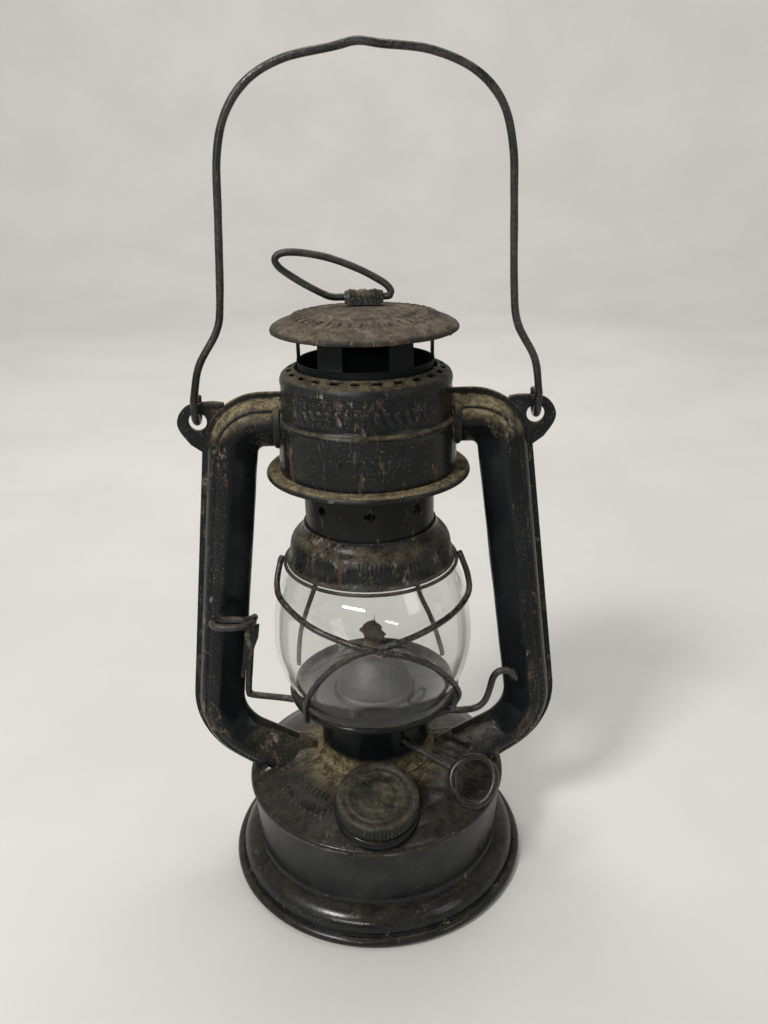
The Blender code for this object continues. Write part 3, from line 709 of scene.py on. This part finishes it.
def cap_form(r, z, degrees):
    """Knurls down the side, and two pressed rings on the slightly uneven face."""
    if z < -0.9 and r > 15.6:
        depth = smooth(-z, 0.9, 2.1) * (1.0 - smooth(-z, 5.6, 6.4) * 0.4)
        r -= 0.62 * depth * (0.5 - 0.5 * math.cos(math.radians(degrees) * KNURLS))
    if z > -0.95 and r < 13.3:
        turn = math.radians(degrees)
        x, y = r * math.cos(turn), r * math.sin(turn)
        outer, inner = 1.0 - smooth(abs(r - 11.3), 0.4, 1.0), 1.0 - smooth(abs(r - 6.5), 0.5, 1.2)
        z += 0.30 * outer + 0.26 * inner
        z += 0.22 * ripple((x, y, 0.0), 2.6, 8.0) * (1.0 - smooth(r, 11.5, 13.3))
    return r, z


def make_filler():
    """The knurled filler cap."""
    face = [(0.0, -0.85), (11.6, -0.85), (12.8, -0.7), (13.8, -0.15), (14.8, 0.0), (15.9, -0.4),
            (16.5, -1.3), (16.5, -6.2), (16.2, -6.5), (15.5, -6.5), (15.5, -1.6), (0.0, -1.5)]
    cap = lathe("filler_lid", contour(face, 0.5, 0.35), CAPFACE, 8 * KNURLS, 0.05, cap_form)
    cap.data.transform(to_filler())
    show(cap, "filler_cap", "dusty_enamel", "filler_cap")


# ---------------------------------------------------------------- frame

TUBE_TOP_Z = 198.0
TUBE_CORNERS = [(29.5, TUBE_TOP_Z), (49.8, TUBE_TOP_Z), (66.6, 65.0), (29.0, 39.6)]
TUBE_BENDS = [12.3, 25.0]
TUBE_SECTION = [(11.7, 0.0), (11.72, 0.45), (11.4, 0.8), (9.7, 0.9), (9.2, 1.3), (9.05, 3.6), (8.7, 4.5),
                (8.1, 5.6), (7.2, 6.7), (6.3, 7.15), (5.65, 7.05), (5.2, 7.2), (4.8, 7.85), (3.8, 8.45),
                (2.2, 8.9), (0.9, 9.0), (-0.3, 8.5), (-2.6, 6.9), (-5.2, 5.1), (-7.3, 3.4), (-8.8, 1.7),
                (-9.3, 0.0)]
EAR_X = 63.5
EAR_Z = 199.0


def filleted(corners, radii, count):
    """A plane route of (x, z) through corners, each turned with its own radius."""
    route = [Vector(corners[0])]
    for before, corner, after, radius in zip(corners, corners[1:], corners[2:], radii):
        corner = Vector(corner)
        back = (Vector(before) - corner).normalized()
        ahead = (Vector(after) - corner).normalized()
        half_turn = (math.pi - back.angle(ahead)) / 2
        reach = radius * math.tan(half_turn)
        middle = corner + (back + ahead).normalized() * radius / math.cos(half_turn)
        first = corner + back * reach - middle
        sweep = first.angle_signed(corner + ahead * reach - middle)
        route += [middle + Matrix.Rotation(-sweep * index / count, 2) @ first for index in range(count + 1)]
    route.append(Vector(corners[-1]))
    return route


def make_tube(side, hand):
    """A side tube: pressed in two halves, with a folded seam outside and long ribs."""
    route = spaced(filleted(TUBE_CORNERS, TUBE_BENDS, 20), 2.2)
    section = flowing(TUBE_SECTION, 3)
    section += [Vector((p.x, -p.y)) for p in section[-2:0:-1]]
    rings = []
    for index, point in enumerate(route):
        ahead = (route[min(index + 1, len(route) - 1)] - route[max(index - 1, 0)]).normalized()
        outward = Vector((-ahead.y, ahead.x))
        low = smooth(-point.y, -84.0, -52.0)
        root = smooth(-point.y, -58.0, -44.0)
        rib = 1.0 - 0.6 * smooth(-point.y, -66.0, -52.0)
        ring = []
        for u, v in section:
            if u < 0:
                u *= 1.0 + 0.10 * low + 0.18 * root
            v *= 1.0 + 0.10 * root
            u -= (1.0 - rib) * 0.3 * smooth(abs(v), 4.0, 7.0)
            spot = point + outward * u
            uneven = 0.22 * ripple((side * spot.x, v, spot.y), 13.0, 6.0)
            spot = spot + outward * (uneven * smooth(9.0 - u, 0.0, 2.0))
            ring.append((side * spot.x, v + 0.15 * ripple((side * spot.x, v, spot.y), 9.0, 3.0), spot.y))
        rings.append(ring)
    # The inward sides take the cleaner, darker glossy finish: painted shade on the tubes' inner faces.
    tube = loft("air_tube_" + hand, rings, [TUBE, SLEEK], corner=40.0, which=shaded_inner_face(side))
    show(tube, "frame", "enamel", "side_tube_" + hand)


def shaded_inner_face(side):
    """Picks the glossy finish for the side of a tube that faces the globe; free of dust and chips, it makes
    that side darker, as painted shade.
    """
    def choose(middle, normal):
        return 1 if side * normal.x < -0.35 and 56.0 < middle.z < 192.0 else 0
    return choose


def make_collar(side, hand):
    """The dusty collar where a tube enters the drum."""
    outline = [(9.3, 0.0), (9.9, 0.0), (10.0, 0.6), (9.9, 1.9), (9.7, 2.6), (9.3, 2.9)]
    collar = lathe("tube_ring_" + hand, contour(outline, 0.3, 0.8), DUSTY, 96, 0.12)
    collar.data.transform(Matrix.Translation((side * 32.0 * MM, 0, TUBE_TOP_Z * MM))
                          @ Matrix.Rotation(side * math.pi / 2, 4, "Y"))
    show(collar, "frame", "enamel", "tube_collar_" + hand)


def make_ear(side, hand):
    """The flat ear that takes the bail's hook, its top edge folded over."""
    outline = arc(38.9, 185.7, 24.0, 3, 53, 14)
    outline += flowing([(58.5, 205.8), (65.5, 205.8), (69.4, 203.2), (71.3, 199.0), (70.4, 195.0),
                        (67.0, 190.0)], 5)
    rings = [[(side * x, y, z) for x, z in outline] for y in (-0.6, 0.6)]
    ear = loft("bail_ear_" + hand, rings, TUBE)
    carve(ear, [(3.4, (side * EAR_X, -5, EAR_Z), (side * EAR_X, 5, EAR_Z), 40)])
    join = ear.modifiers.new("join", "WELD")
    join.merge_threshold = 0.00002
    bevel(ear, 0.22, 3, 40)
    settle(ear, 60.0)
    show(ear, "frame", "enamel", "ear_" + hand)
    fold = spaced([(side * 53.6, 0, 205.0), (side * 57.0, 0, 205.5), (side * 61.2, 0, 205.4)], 0.8)
    show(wire("ear_hem_" + hand, fold, 1.15, WORN, rough=0.12), "frame", "enamel")


def drum_form(r, z, degrees):
    """Rows of plain pressed bars on the drum's front."""
    left = degrees % 360.0
    lift = 0.0
    if 226.0 < left < 316.0 and r > 31.3:
        lift = 0.75 * tick(left + z * 0.9, 6.4, 0.34) * (1.0 - smooth(abs(z - 206.6), 1.7, 2.6))
    if 250.0 < left < 292.0 and r > 32.8:
        lift = max(lift, 0.55 * tick(left, 5.2, 0.36) * (1.0 - smooth(abs(z - 191.0), 1.1, 1.9)))
    return r + lift, z


def make_drum():
    """The air drum with its lid and the dusty ring below it."""
    wall = [(31.7, 213.6), (32.2, 202.2), (32.6, 201.2), (33.5, 200.4), (33.9, 199.4), (33.5, 198.3),
            (33.4, 197.2), (33.7, 181.0)]
    shell = lathe("drum_wall", sheet(wall, 0.7, 0.5, 0.6), WORN, 512, 0.16, drum_form)
    show(shell, "frame", "enamel", "drum_shell")
    lid = [(25.9, 217.6), (26.1, 219.0), (26.7, 219.3), (27.3, 218.6), (29.6, 218.0), (31.3, 216.8),
           (32.0, 215.3), (32.0, 213.7)]
    top = lathe("drum_cover", sheet(lid, 0.6, 0.6, 0.5), LID, 256, 0.10)
    carve(top, [((28.4 * math.cos(a), 28.4 * math.sin(a), 218.0), (1.9, 3.4, 4.0), math.degrees(a))
                for a in (FULL_TURN * (k + 0.5) / 24 for k in range(24))])
    show(top, "frame", "enamel", "drum_lid")
    ring = [(26.1, 189.0), (26.1, 181.6), (26.9, 180.8), (33.2, 180.9), (37.2, 180.8), (38.5, 180.2),
            (38.9, 179.2), (38.6, 178.6), (38.0, 178.7), (37.0, 179.9), (26.5, 180.0), (25.5, 181.0),
            (25.5, 189.0)]
    show(lathe("draught_ring", contour(ring, 0.45, 0.6), [DUSTY, RIM], 256, 0.25,
               which=lambda middle, normal: 1 if middle.xy.length > 37.9 or normal.z < -0.3 else 0),
         "frame", "dusty_enamel", "draft_ring")


# ---------------------------------------------------------------- burner

SHAFT_Z = 65.5
SHAFT_OFFSET = 5.5
WINDER_TURN = math.radians(-45.0)


def across(distance, sideways, height):
    """A point on the winder's own axes: along its shaft, across it, and up."""
    along = Vector((math.cos(WINDER_TURN), math.sin(WINDER_TURN), 0.0))
    over = Vector((-math.sin(WINDER_TURN), math.cos(WINDER_TURN), 0.0))
    return along * distance + over * sideways + Vector((0.0, 0.0, height))


def shaft_hole(radius, sides):
    """The cutter of the hole that the winder's shaft turns in."""
    return radius, across(0, -SHAFT_OFFSET, SHAFT_Z), across(40, -SHAFT_OFFSET, SHAFT_Z), sides


def make_burner():
    """The collar, the burner's dome and its gallery."""
    collar = [(22.6, 75.4), (23.3, 75.2), (23.5, 74.4), (23.2, 73.4), (23.2, 54.0), (23.8, 52.6),
              (25.4, 51.6)]
    ring = lathe("burner_collar", sheet(collar, 0.5, 1.0, 0.6), COLLAR, 192, 0.12)
    carve(ring, [shaft_hole(2.2, 24)])
    show(ring, "frame", "enamel", "air_collar")
    dome = [(4.5, 97.4), (7.0, 97.2), (9.2, 95.8), (12.2, 91.8), (14.4, 87.2), (15.5, 83.6), (15.6, 82.0),
            (16.4, 81.2), (16.6, 79.6), (16.4, 76.4), (17.2, 75.2), (20.8, 74.4)]
    cone = lathe("burner_dome", sheet(dome, 0.8, 0.7, 0.5), SMOKED, 160, 0.10)
    carve(cone, [(across(0, 0, 96), (14.0, 5.0, 9.0), -45.0)])
    show(cone, "frame", "zinc", "burner_cone")
    cup = [(19.4, 73.8), (19.2, 73.0), (19.0, 72.2), (19.0, 60.0), (19.6, 59.3)]
    gallery = lathe("burner_cup", sheet(cup, 0.4, 0.9, 0.5), SMOKED, 160, 0.08)
    carve(gallery, spokes(0.9, 15, 22, 70.4, 12, 18, 0.5) + spokes(0.9, 15, 22, 67.4, 12, 18))
    carve(gallery, [shaft_hole(2.0, 20)])
    show(gallery, "frame", "zinc", "burner_gallery")


def make_wick():
    """The flat wick with its ragged, charred top and three loose threads."""
    stations = [(30.0, 11.0, 2.2), (60.0, 11.0, 2.2), (88.0, 11.0, 2.2), (96.0, 10.8, 2.2),
                (101.4, 10.0, 2.3), (103.2, 9.3, 2.8), (105.2, 9.8, 4.2), (107.6, 9.2, 4.6),
                (109.6, 6.8, 3.8), (110.9, 4.0, 2.6), (111.6, 1.4, 1.0)]
    rings = []
    for z, width, thick in flowing(stations, 5):
        rag = smooth(z, 101.8, 105.0) * 0.75
        ring = []
        for k in range(40):
            a = FULL_TURN * k / 40
            u = math.copysign(abs(math.cos(a)) ** 0.45, math.cos(a)) * width / 2
            v = math.copysign(abs(math.sin(a)) ** 0.45, math.sin(a)) * thick / 2
            spot = across(u, v, z)
            grow = 1.0 + rag * (0.55 * ripple(spot, 1.7, 3.0) + 0.35 * ripple(spot, 0.7, 9.0))
            ring.append(across(u * grow, v * grow, z + rag * ripple(spot, 2.5, 12.0)))
        rings.append(ring)
    show(loft("wick_braid", rings, WICK, corner=80.0), "wick", "wick", "wick")
    threads = [((1.2, 0.3, 107.0), (1.7, 0.2, 110.0), (1.0, 0.0, 113.0), (1.3, -0.1, 115.2)),
               ((-2.2, 0.2, 105.0), (-3.0, 0.5, 108.0), (-3.4, 0.2, 110.4)),
               ((3.0, -0.4, 103.5), (3.8, -0.8, 105.6), (4.1, -0.8, 107.6))]
    for number, points in enumerate(threads):
        route = flowing([across(*p) for p in points], 5)
        rings = wire_rings(route, 0.32, 8, taper=lambda t: 1.0 - 0.75 * t)
        show(loft("wick_thread_%d" % (number + 1), rings, WICK), "wick", "wick")


def make_winder():
    """The winder's shaft and its finger loop."""
    lean = math.radians(45)
    run = []
    for index in range(72):
        angle = FULL_TURN * index / 72
        reach = 9.2 * math.cos(angle)
        width = 8.9 * math.sin(angle) * (1.0 + 0.1 * math.cos(angle))
        run.append(across(57.7 + reach, -SHAFT_OFFSET + width * math.cos(lean),
                          SHAFT_Z + width * math.sin(lean)))
    ring = wire("winder_ring", run, 1.6, TOP, closed=True, sides=20, rough=0.10)
    show(ring, "winder", "enamel", "wick_loop")
    shaft = spaced([across(-6, -SHAFT_OFFSET, SHAFT_Z), across(46.9, -SHAFT_OFFSET, SHAFT_Z)], 1.2)
    show(wire("winder_rod", shaft, 1.3, DARK_WIRE, sides=20), "winder", "wire", "wick_shaft")


# ---------------------------------------------------------------- globe

GUARD_ROUTES = {
    "guard_wire_left": [
        (188, 35.2, 144.6), (189, 36.2, 142.6), (196, 38.6, 135.0), (211, 39.8, 132.4), (236, 41.6, 129.4),
        (258, 43.6, 126.4), (272, 44.6, 124.0), (286, 43.8, 120.0), (300, 43.0, 112.8), (314, 42.4, 101.8),
        (325, 41.0, 91.0), (326, 38.7, 85.2), (325, 37.9, 81.8)],
    "guard_wire_right": [
        (352, 35.2, 144.6), (351, 36.2, 142.6), (353, 38.8, 134.0), (342, 39.8, 129.8), (318, 40.6, 129.0),
        (296, 41.4, 127.0), (277, 41.8, 124.0), (262, 41.8, 121.0), (248, 41.8, 113.4), (237, 41.8, 103.4),
        (229, 40.4, 93.6), (225, 38.7, 85.2), (224, 37.9, 81.8)],
    "guard_post_left": [
        (111, 35.2, 144.6), (112, 36.2, 142.6), (116, 39.0, 135.0), (123, 42.0, 121.0), (131, 42.2, 109.0),
        (144, 41.0, 95.5), (154, 38.5, 84.8), (157, 37.9, 81.8)],
    "guard_post_right": [
        (67, 35.2, 144.6), (66, 36.2, 142.6), (64, 39.0, 135.0), (62, 42.0, 121.0), (58, 42.2, 106.0),
        (48, 41.0, 95.5), (35, 38.5, 84.8), (32, 37.9, 81.8)]}


def make_globe():
    """The plate, the blown glass and the ring under the bell."""
    dish = [(33.4, 82.6), (34.0, 83.3), (34.9, 83.4), (35.7, 82.8), (35.8, 81.9), (35.4, 80.9), (34.2, 80.2),
            (33.0, 79.3), (31.8, 78.7), (17.4, 78.7)]

    def notch(r, z, degrees):
        dent = 1.0 - smooth(abs(degrees % 360.0 - 267.6), 0.9, 2.2)
        return (r - 0.6 * dent, z - 0.5 * dent) if r > 34.0 else (r, z)

    plate = lathe("globe_dish", sheet(dish, 0.5, 0.6, 0.6), [SLEEK, SMOKED], 384, 0.08, notch,
                  which=lambda middle, normal: 1 if middle.xy.length < 33.2 and normal.z > 0.2 else 0)
    show(plate, "globe_carrier", "zinc_dark", "globe_plate")
    outside = [(29.4, 149.0), (30.4, 145.5), (33.0, 141.0), (36.9, 132.5), (39.4, 122.0), (40.5, 110.0),
               (40.1, 102.0), (38.4, 94.5), (35.3, 87.8), (32.4, 83.0), (30.6, 79.6)]
    curve = flowing(outside, 6)
    loop = walled(curve, 1.5)
    lip = []
    for first, last in ((loop[len(curve) - 1], loop[len(curve)]), (loop[-1], loop[0])):
        middle = (first + last) / 2
        out = (first - last).orthogonal().normalized() * 0.55
        lip.append(middle + (out if out.y * (middle.y - 110) > 0 else -out))
    loop = loop[:len(curve)] + [lip[0]] + loop[len(curve):] + [lip[1]]
    globe = lathe("globe_glass", loop, GLASS, 192, 0.12, corner=80.0)
    globe.visible_shadow = False
    show(globe, "globe_carrier", "glass", "globe")
    hoop_r = 34.3
    turns = [FULL_TURN * k / 96 for k in range(96)]
    ring = [(hoop_r * math.cos(turn), hoop_r * math.sin(turn), 141.4) for turn in turns]
    hoop = wire("guard_hoop", ring, 0.7, WORN_WIRE, closed=True, sides=12)
    show(hoop, "globe_carrier", "wire", "guard_ring")


def round_globe(angle, radius, height):
    """A point so far round the globe, in degrees from +X."""
    turn = math.radians(angle)
    return radius * math.cos(turn), radius * math.sin(turn), height


def make_guard():
    """Two wires that cross in front of the globe, and two uprights behind it."""
    for node, route in GUARD_ROUTES.items():
        run = spaced(flowing([round_globe(*knot) for knot in route], 8), 1.0)
        show(wire(node + "_run", run, 1.2, GUARD_FINISH, rough=0.05), "globe_carrier", "wire", node)


def make_lift():
    """The lift wire, pivoted in the right tube, that raises the globe."""
    pivot = [(58.6, -3.0, 88.5), (58.6, -9.8, 88.5)]
    hook = [(57.4, -12.6, 91.0), (55.6, -13.6, 93.8), (53.2, -14.0, 94.9), (50.6, -14.0, 94.3),
            (48.6, -14.0, 91.6), (47.0, -14.0, 85.0), (45.2, -14.0, 80.2), (41.8, -14.2, 77.4),
            (36.0, -14.4, 76.6)]
    under = [(30.5, -14.6, 76.8), (22.0, -19.0, 77.0), (12.0, -22.2, 77.0), (0.0, -23.4, 77.0),
             (-12.0, -20.6, 77.0), (-20.0, -14.6, 77.0), (-28.0, -6.8, 77.0), (-36.0, -3.6, 77.4)]
    leg = [(-51.4, -3.0, 79.6), (-53.0, -3.0, 81.2), (-52.8, -3.0, 86.0), (-49.7, -3.6, 110.0),
           (-48.4, -4.6, 116.0), (-47.6, -6.6, 118.8)]
    loop = [(-47.4, -9.4, 120.0), (-49.6, -12.2, 120.8), (-55.0, -12.4, 121.2), (-60.0, -12.8, 121.6),
            (-62.2, -14.2, 121.8), (-62.8, -16.4, 121.8), (-61.2, -18.8, 121.8), (-58.0, -20.0, 121.8),
            (-52.0, -20.0, 121.8), (-48.6, -18.4, 121.8), (-47.2, -15.4, 121.6)]
    run = spaced(flowing(pivot + hook + under + leg + loop, 5), 0.9)
    show(wire("lift_lever", run, 1.4, LIFT_FINISH, rough=0.05), "lift_wire", "wire", "lift_wire")


# ---------------------------------------------------------------- chimney

CLIP_Y = 4.0
CLIP_Z = 242.9


def bell_form(r, z, degrees):
    """Fine upright crimps round the bell's shoulder."""
    band = smooth(z, 146.2, 148.2) * (1.0 - smooth(z, 151.6, 153.0))
    return r + 0.10 * band * math.cos(math.radians(degrees) * 120), z


def crown_form(r, z, degrees):
    """The cap's ring of plain pressed dashes, and the small crimps that hold it on."""
    lift = 0.75 * tick(degrees, 9.0, 0.42) * (1.0 - smooth(abs(r - 24.6), 1.7, 2.6))
    lift += 0.16 * ripple((r, degrees / 9.0, 0), 2.4, 4.0)
    for index in range(8):
        turn = math.radians(-119.6 + 45.0 * index)
        x, y = r * math.cos(math.radians(degrees)), r * math.sin(math.radians(degrees))
        away = math.hypot(x - 33.6 * math.cos(turn), y - 33.6 * math.sin(turn))
        if away < 2.0 and z > 232.4:
            lift -= 0.55 * (1.0 - smooth(away, 0.5, 1.4))
    return r, z + lift * smooth(r, 3.0, 8.0)


def make_chimney():
    """The sliding stack with its vents and windows, its bell and its dusty cap."""
    stack = [(25.1, 235.2), (25.1, 222.4), (25.35, 221.6), (25.1, 220.8), (25.1, 154.8)]
    # Inner faces and all above 219 mm take the clean black finish: soot inside, painted shade under the cap's
    # overhang.
    tube = lathe("stack_tube", sheet(stack, 0.5, 1.6, 0.5), [STACK, SOOT_AND_SHADE], 256, 0.06,
                 which=lambda middle, normal: 1 if middle.xy.dot(normal.xy) < 0 or middle.z > 219.0 else 0)
    windows = [((0, 0, 226.5), (70.0, 16.0, 10.0), 60 * index + 30) for index in range(3)]
    carve(tube, spokes(2.1, 22, 28, 168.3, 32, 8) + windows)
    show(tube, "chimney", "soot", "chimney_tube")
    skirt = [(26.0, 158.2), (26.3, 156.8), (27.6, 154.8), (29.8, 153.0), (31.1, 151.0), (31.7, 148.6),
             (31.9, 146.4), (32.5, 144.4), (33.3, 143.0), (33.6, 142.4)]
    outline = walled(spaced(flowing(skirt, 4), 0.55), 0.5)
    bell = lathe("stack_bell", outline, [BELL, LIP], 480, 0.14, bell_form,
                 which=lambda middle, normal: 1 if middle.z < 143.6 else 0)
    show(bell, "chimney", "soot", "bell")
    crown = [(0.0, 239.9), (15.0, 239.5), (18.6, 239.0), (19.6, 238.1), (27.0, 236.9), (32.0, 235.1),
             (33.8, 234.0), (34.3, 233.0), (34.1, 232.2), (33.4, 232.0)]
    cap = lathe("stack_cap", sheet(crown, 0.7, 0.5, 0.6), CAPPED, 512, 0.30, crown_form)
    show(cap, "chimney", "dusty_enamel", "cap")


def make_cap_ring():
    """The folded strap on the cap and the teardrop ring that swings in it."""
    strap = []
    for x in [-7.0 + 14.0 * k / 24 for k in range(25)]:
        edge = 1.0 - 0.22 * smooth(abs(x), 5.4, 7.0)
        arch = [(-3.6, -2.4), (-3.2, -0.6), (-2.4, 1.2), (-1.2, 2.3), (0.0, 2.65), (1.2, 2.3), (2.4, 1.2),
                (3.2, -0.6), (3.6, -2.4)]
        ridge = (0.20 * math.cos(x * 1.5 + 0.6) + 0.16 * math.sin(x * 3.4)) * (1.0 - smooth(abs(x), 5.0, 6.6))
        strap.append([(x, CLIP_Y + y * edge, 242.85 + z * edge + ridge * smooth(z, 0.0, 2.0))
                      for y, z in flowing(arch, 3)])
    clip = loft("cap_clip", strap, WORN)
    carve(clip, [(1.65, (-12, CLIP_Y, CLIP_Z), (12, CLIP_Y, CLIP_Z), 24)])
    show(clip, "chimney", "enamel", "cap_strap")
    ring = [(-7.6, CLIP_Z), (7.6, CLIP_Z), (9.4, 243.6), (9.6, 245.2), (6.8, 248.0), (-1.6, 252.6),
            (-11.0, 256.3), (-19.0, 258.2), (-25.6, 258.9), (-29.4, 258.4), (-31.2, 256.8), (-30.6, 254.6),
            (-27.8, 252.0), (-20.8, 247.5), (-14.0, 243.9), (-11.0, 243.0)]
    run = spaced(flowing([(x, CLIP_Y, z) for x, z in ring], 6, closed=True), 0.9, closed=True)
    show(wire("lift_ring", run, 1.3, DARK_WIRE, closed=True, rough=0.05), "cap_ring", "wire", "cap_ring")


def make_bail():
    """The carrying bail, hooked through both ears."""
    hook_r = 4.4
    left = [(-63.4, -4.3, 208.0), (-60.4, -3.4, 220.5), (-53.2, -1.8, 232.6), (-51.2, -0.6, 243.0),
            (-49.4, 0.0, 271.0), (-48.0, 0.0, 291.0), (-44.0, 0.0, 304.0), (-36.0, 0.0, 313.6),
            (-24.0, 0.0, 319.6), (-8.0, 0.0, 322.6)]
    right = [(63.6, -4.3, 208.0), (61.6, -3.4, 220.5), (55.2, -1.8, 233.0), (53.6, -0.6, 246.0),
             (52.6, 0.0, 275.0), (51.6, 0.0, 292.0), (47.6, 0.0, 305.6), (38.4, 0.0, 315.2),
             (24.0, 0.0, 321.2), (8.0, 0.0, 323.2)]
    hooks = {}
    for side in (-1, 1):
        hooks[side] = [Vector((side * EAR_X, hook_r, 207.6))]
        for index in range(25):
            angle = math.pi * index / 24
            drop = EAR_Z + hook_r - hook_r * math.sin(angle)
            hooks[side].append(Vector((side * EAR_X, hook_r * math.cos(angle), drop)))
    over = flowing(left + [(0.0, 0.0, 324.2)] + right[::-1], 8)
    run = spaced(hooks[-1] + over + hooks[1][::-1], 1.0)
    show(wire("bail_handle", run, 1.4, BAIL_FINISH, sides=18, rough=0.06), "bail", "wire", "bail")


def dress_cad_nodes():
    """Finish the small CAD pieces that keep their own shape."""
    dressed = {"chamber_floor": ZINC, "filler_neck": TOP, "filler_washer": RUBBER, "burner_base": ZINC,
               "wick_tube": SMOKED, "wick_wheel": ZINC, "lift_keeper": WORN}
    for node, finish in dressed.items():
        item = NODES[node]
        item.data.materials.clear()
        item.data.materials.append(finish)
        bevel(item, 0.15, 2, 50)


make_tank()
make_filler()
for side, hand in ((-1, "left"), (1, "right")):
    make_tube(side, hand)
    make_collar(side, hand)
    make_ear(side, hand)
make_drum()
make_burner()
make_wick()
make_winder()
make_globe()
make_guard()
make_lift()
make_chimney()
make_cap_ring()
make_bail()
dress_cad_nodes()


# ---------------------------------------------------------------- floor, light and camera

def floor_finish():
    f = Finish("floor", 90)
    f.set("Base Color", f.mix(f.step(f.noise(6, 4), 0.3, 0.7), (0.560, 0.548, 0.522), (0.600, 0.590, 0.565)))
    f.set("Roughness", 0.7)
    return f.material


def make_stage():
    """A pale floor that curves up into a wall all round."""
    reach, bend, tall = 1500.0, 700.0, 1900.0
    outline = [Vector((0.0, -0.4))] + [Vector(p) for p in arc(reach, bend, bend, -90, 0, 24)]
    outline.append(Vector((reach + bend, tall)))
    shape = bmesh.new()
    rows = []
    for r, z in outline:
        rows.append([shape.verts.new((r * math.cos(a) * MM, r * math.sin(a) * MM, (z - 0.1) * MM))
                     for a in (FULL_TURN * k / 96 for k in range(96))])
    for low, high in zip(rows, rows[1:]):
        for k in range(96):
            n = (k + 1) % 96
            shape.faces.new((low[k], low[n], high[n], high[k]))
    bmesh.ops.remove_doubles(shape, verts=shape.verts, dist=0.00001)
    bmesh.ops.dissolve_degenerate(shape, dist=0.000001, edges=shape.edges)
    sweep = from_bmesh("studio_sweep", shape, floor_finish())


def lamp(name, place, target, size, power, colour):
    """A soft rectangular light aimed at a point."""
    data = bpy.data.lights.new(name, "AREA")
    data.shape = "RECTANGLE"
    data.size, data.size_y = size
    data.energy = power
    data.color = colour
    item = bpy.data.objects.new(name, data)
    item.location = place
    item.rotation_euler = (Vector(target) - Vector(place)).to_track_quat("-Z", "Y").to_euler()
    bpy.context.scene.collection.objects.link(item)


def make_light():
    """A key from the upper left, a long strip in front, a weak fill, and a dim room."""
    middle = (0.0, 0.0, 0.15)
    lamp("key", (-0.75, -0.80, 1.25), middle, (0.30, 0.30), 17.0, (1.0, 0.985, 0.95))
    lamp("strip", (-0.452, -1.066, 0.557), (0.0, 0.0, 0.14), (0.55, 0.045), 3.2, (1.0, 0.99, 0.97))
    lamp("fill", (0.95, -0.80, 0.60), middle, (0.35, 0.7), 1.6, (0.95, 0.97, 1.0))
    lamp("top", (0.0, 0.35, 1.45), middle, (0.9, 0.6), 7.5, (1.0, 0.99, 0.97))
    lamp("backdrop", (0.0, 0.75, 1.55), (0.0, 2.0, 0.35), (1.4, 0.3), 17.0, (1.0, 0.99, 0.97))
    world = bpy.data.worlds.new("studio")
    world.use_nodes = True
    sky = world.node_tree.nodes["Background"]
    sky.inputs["Color"].default_value = (0.92, 0.93, 0.95, 1.0)
    sky.inputs["Strength"].default_value = 0.20
    bpy.context.scene.world = world
    bpy.context.scene.view_settings.view_transform = "Standard"


def make_camera():
    """The photograph's viewpoint."""
    pitch, yaw, roll = (math.radians(a) for a in (22.116, 1.025, -1.177))
    ahead = Vector((math.sin(yaw) * math.cos(pitch), math.cos(yaw) * math.cos(pitch), -math.sin(pitch)))
    right = Vector((math.cos(yaw), -math.sin(yaw), 0.0))
    up = right.cross(ahead)
    right2 = right * math.cos(roll) + up * math.sin(roll)
    up2 = up * math.cos(roll) - right * math.sin(roll)
    data = bpy.data.cameras.new("camera")
    data.sensor_width = 36.0
    data.lens = 30.226
    data.clip_start, data.clip_end = 0.01, 20.0
    item = bpy.data.objects.new("camera", data)
    turn = Matrix((right2, up2, -ahead)).transposed().to_4x4()
    item.matrix_world = Matrix.Translation((0.0, -0.31324, 0.28762)) @ turn
    bpy.context.scene.collection.objects.link(item)
    bpy.context.scene.camera = item


make_stage()
make_light()
make_camera()
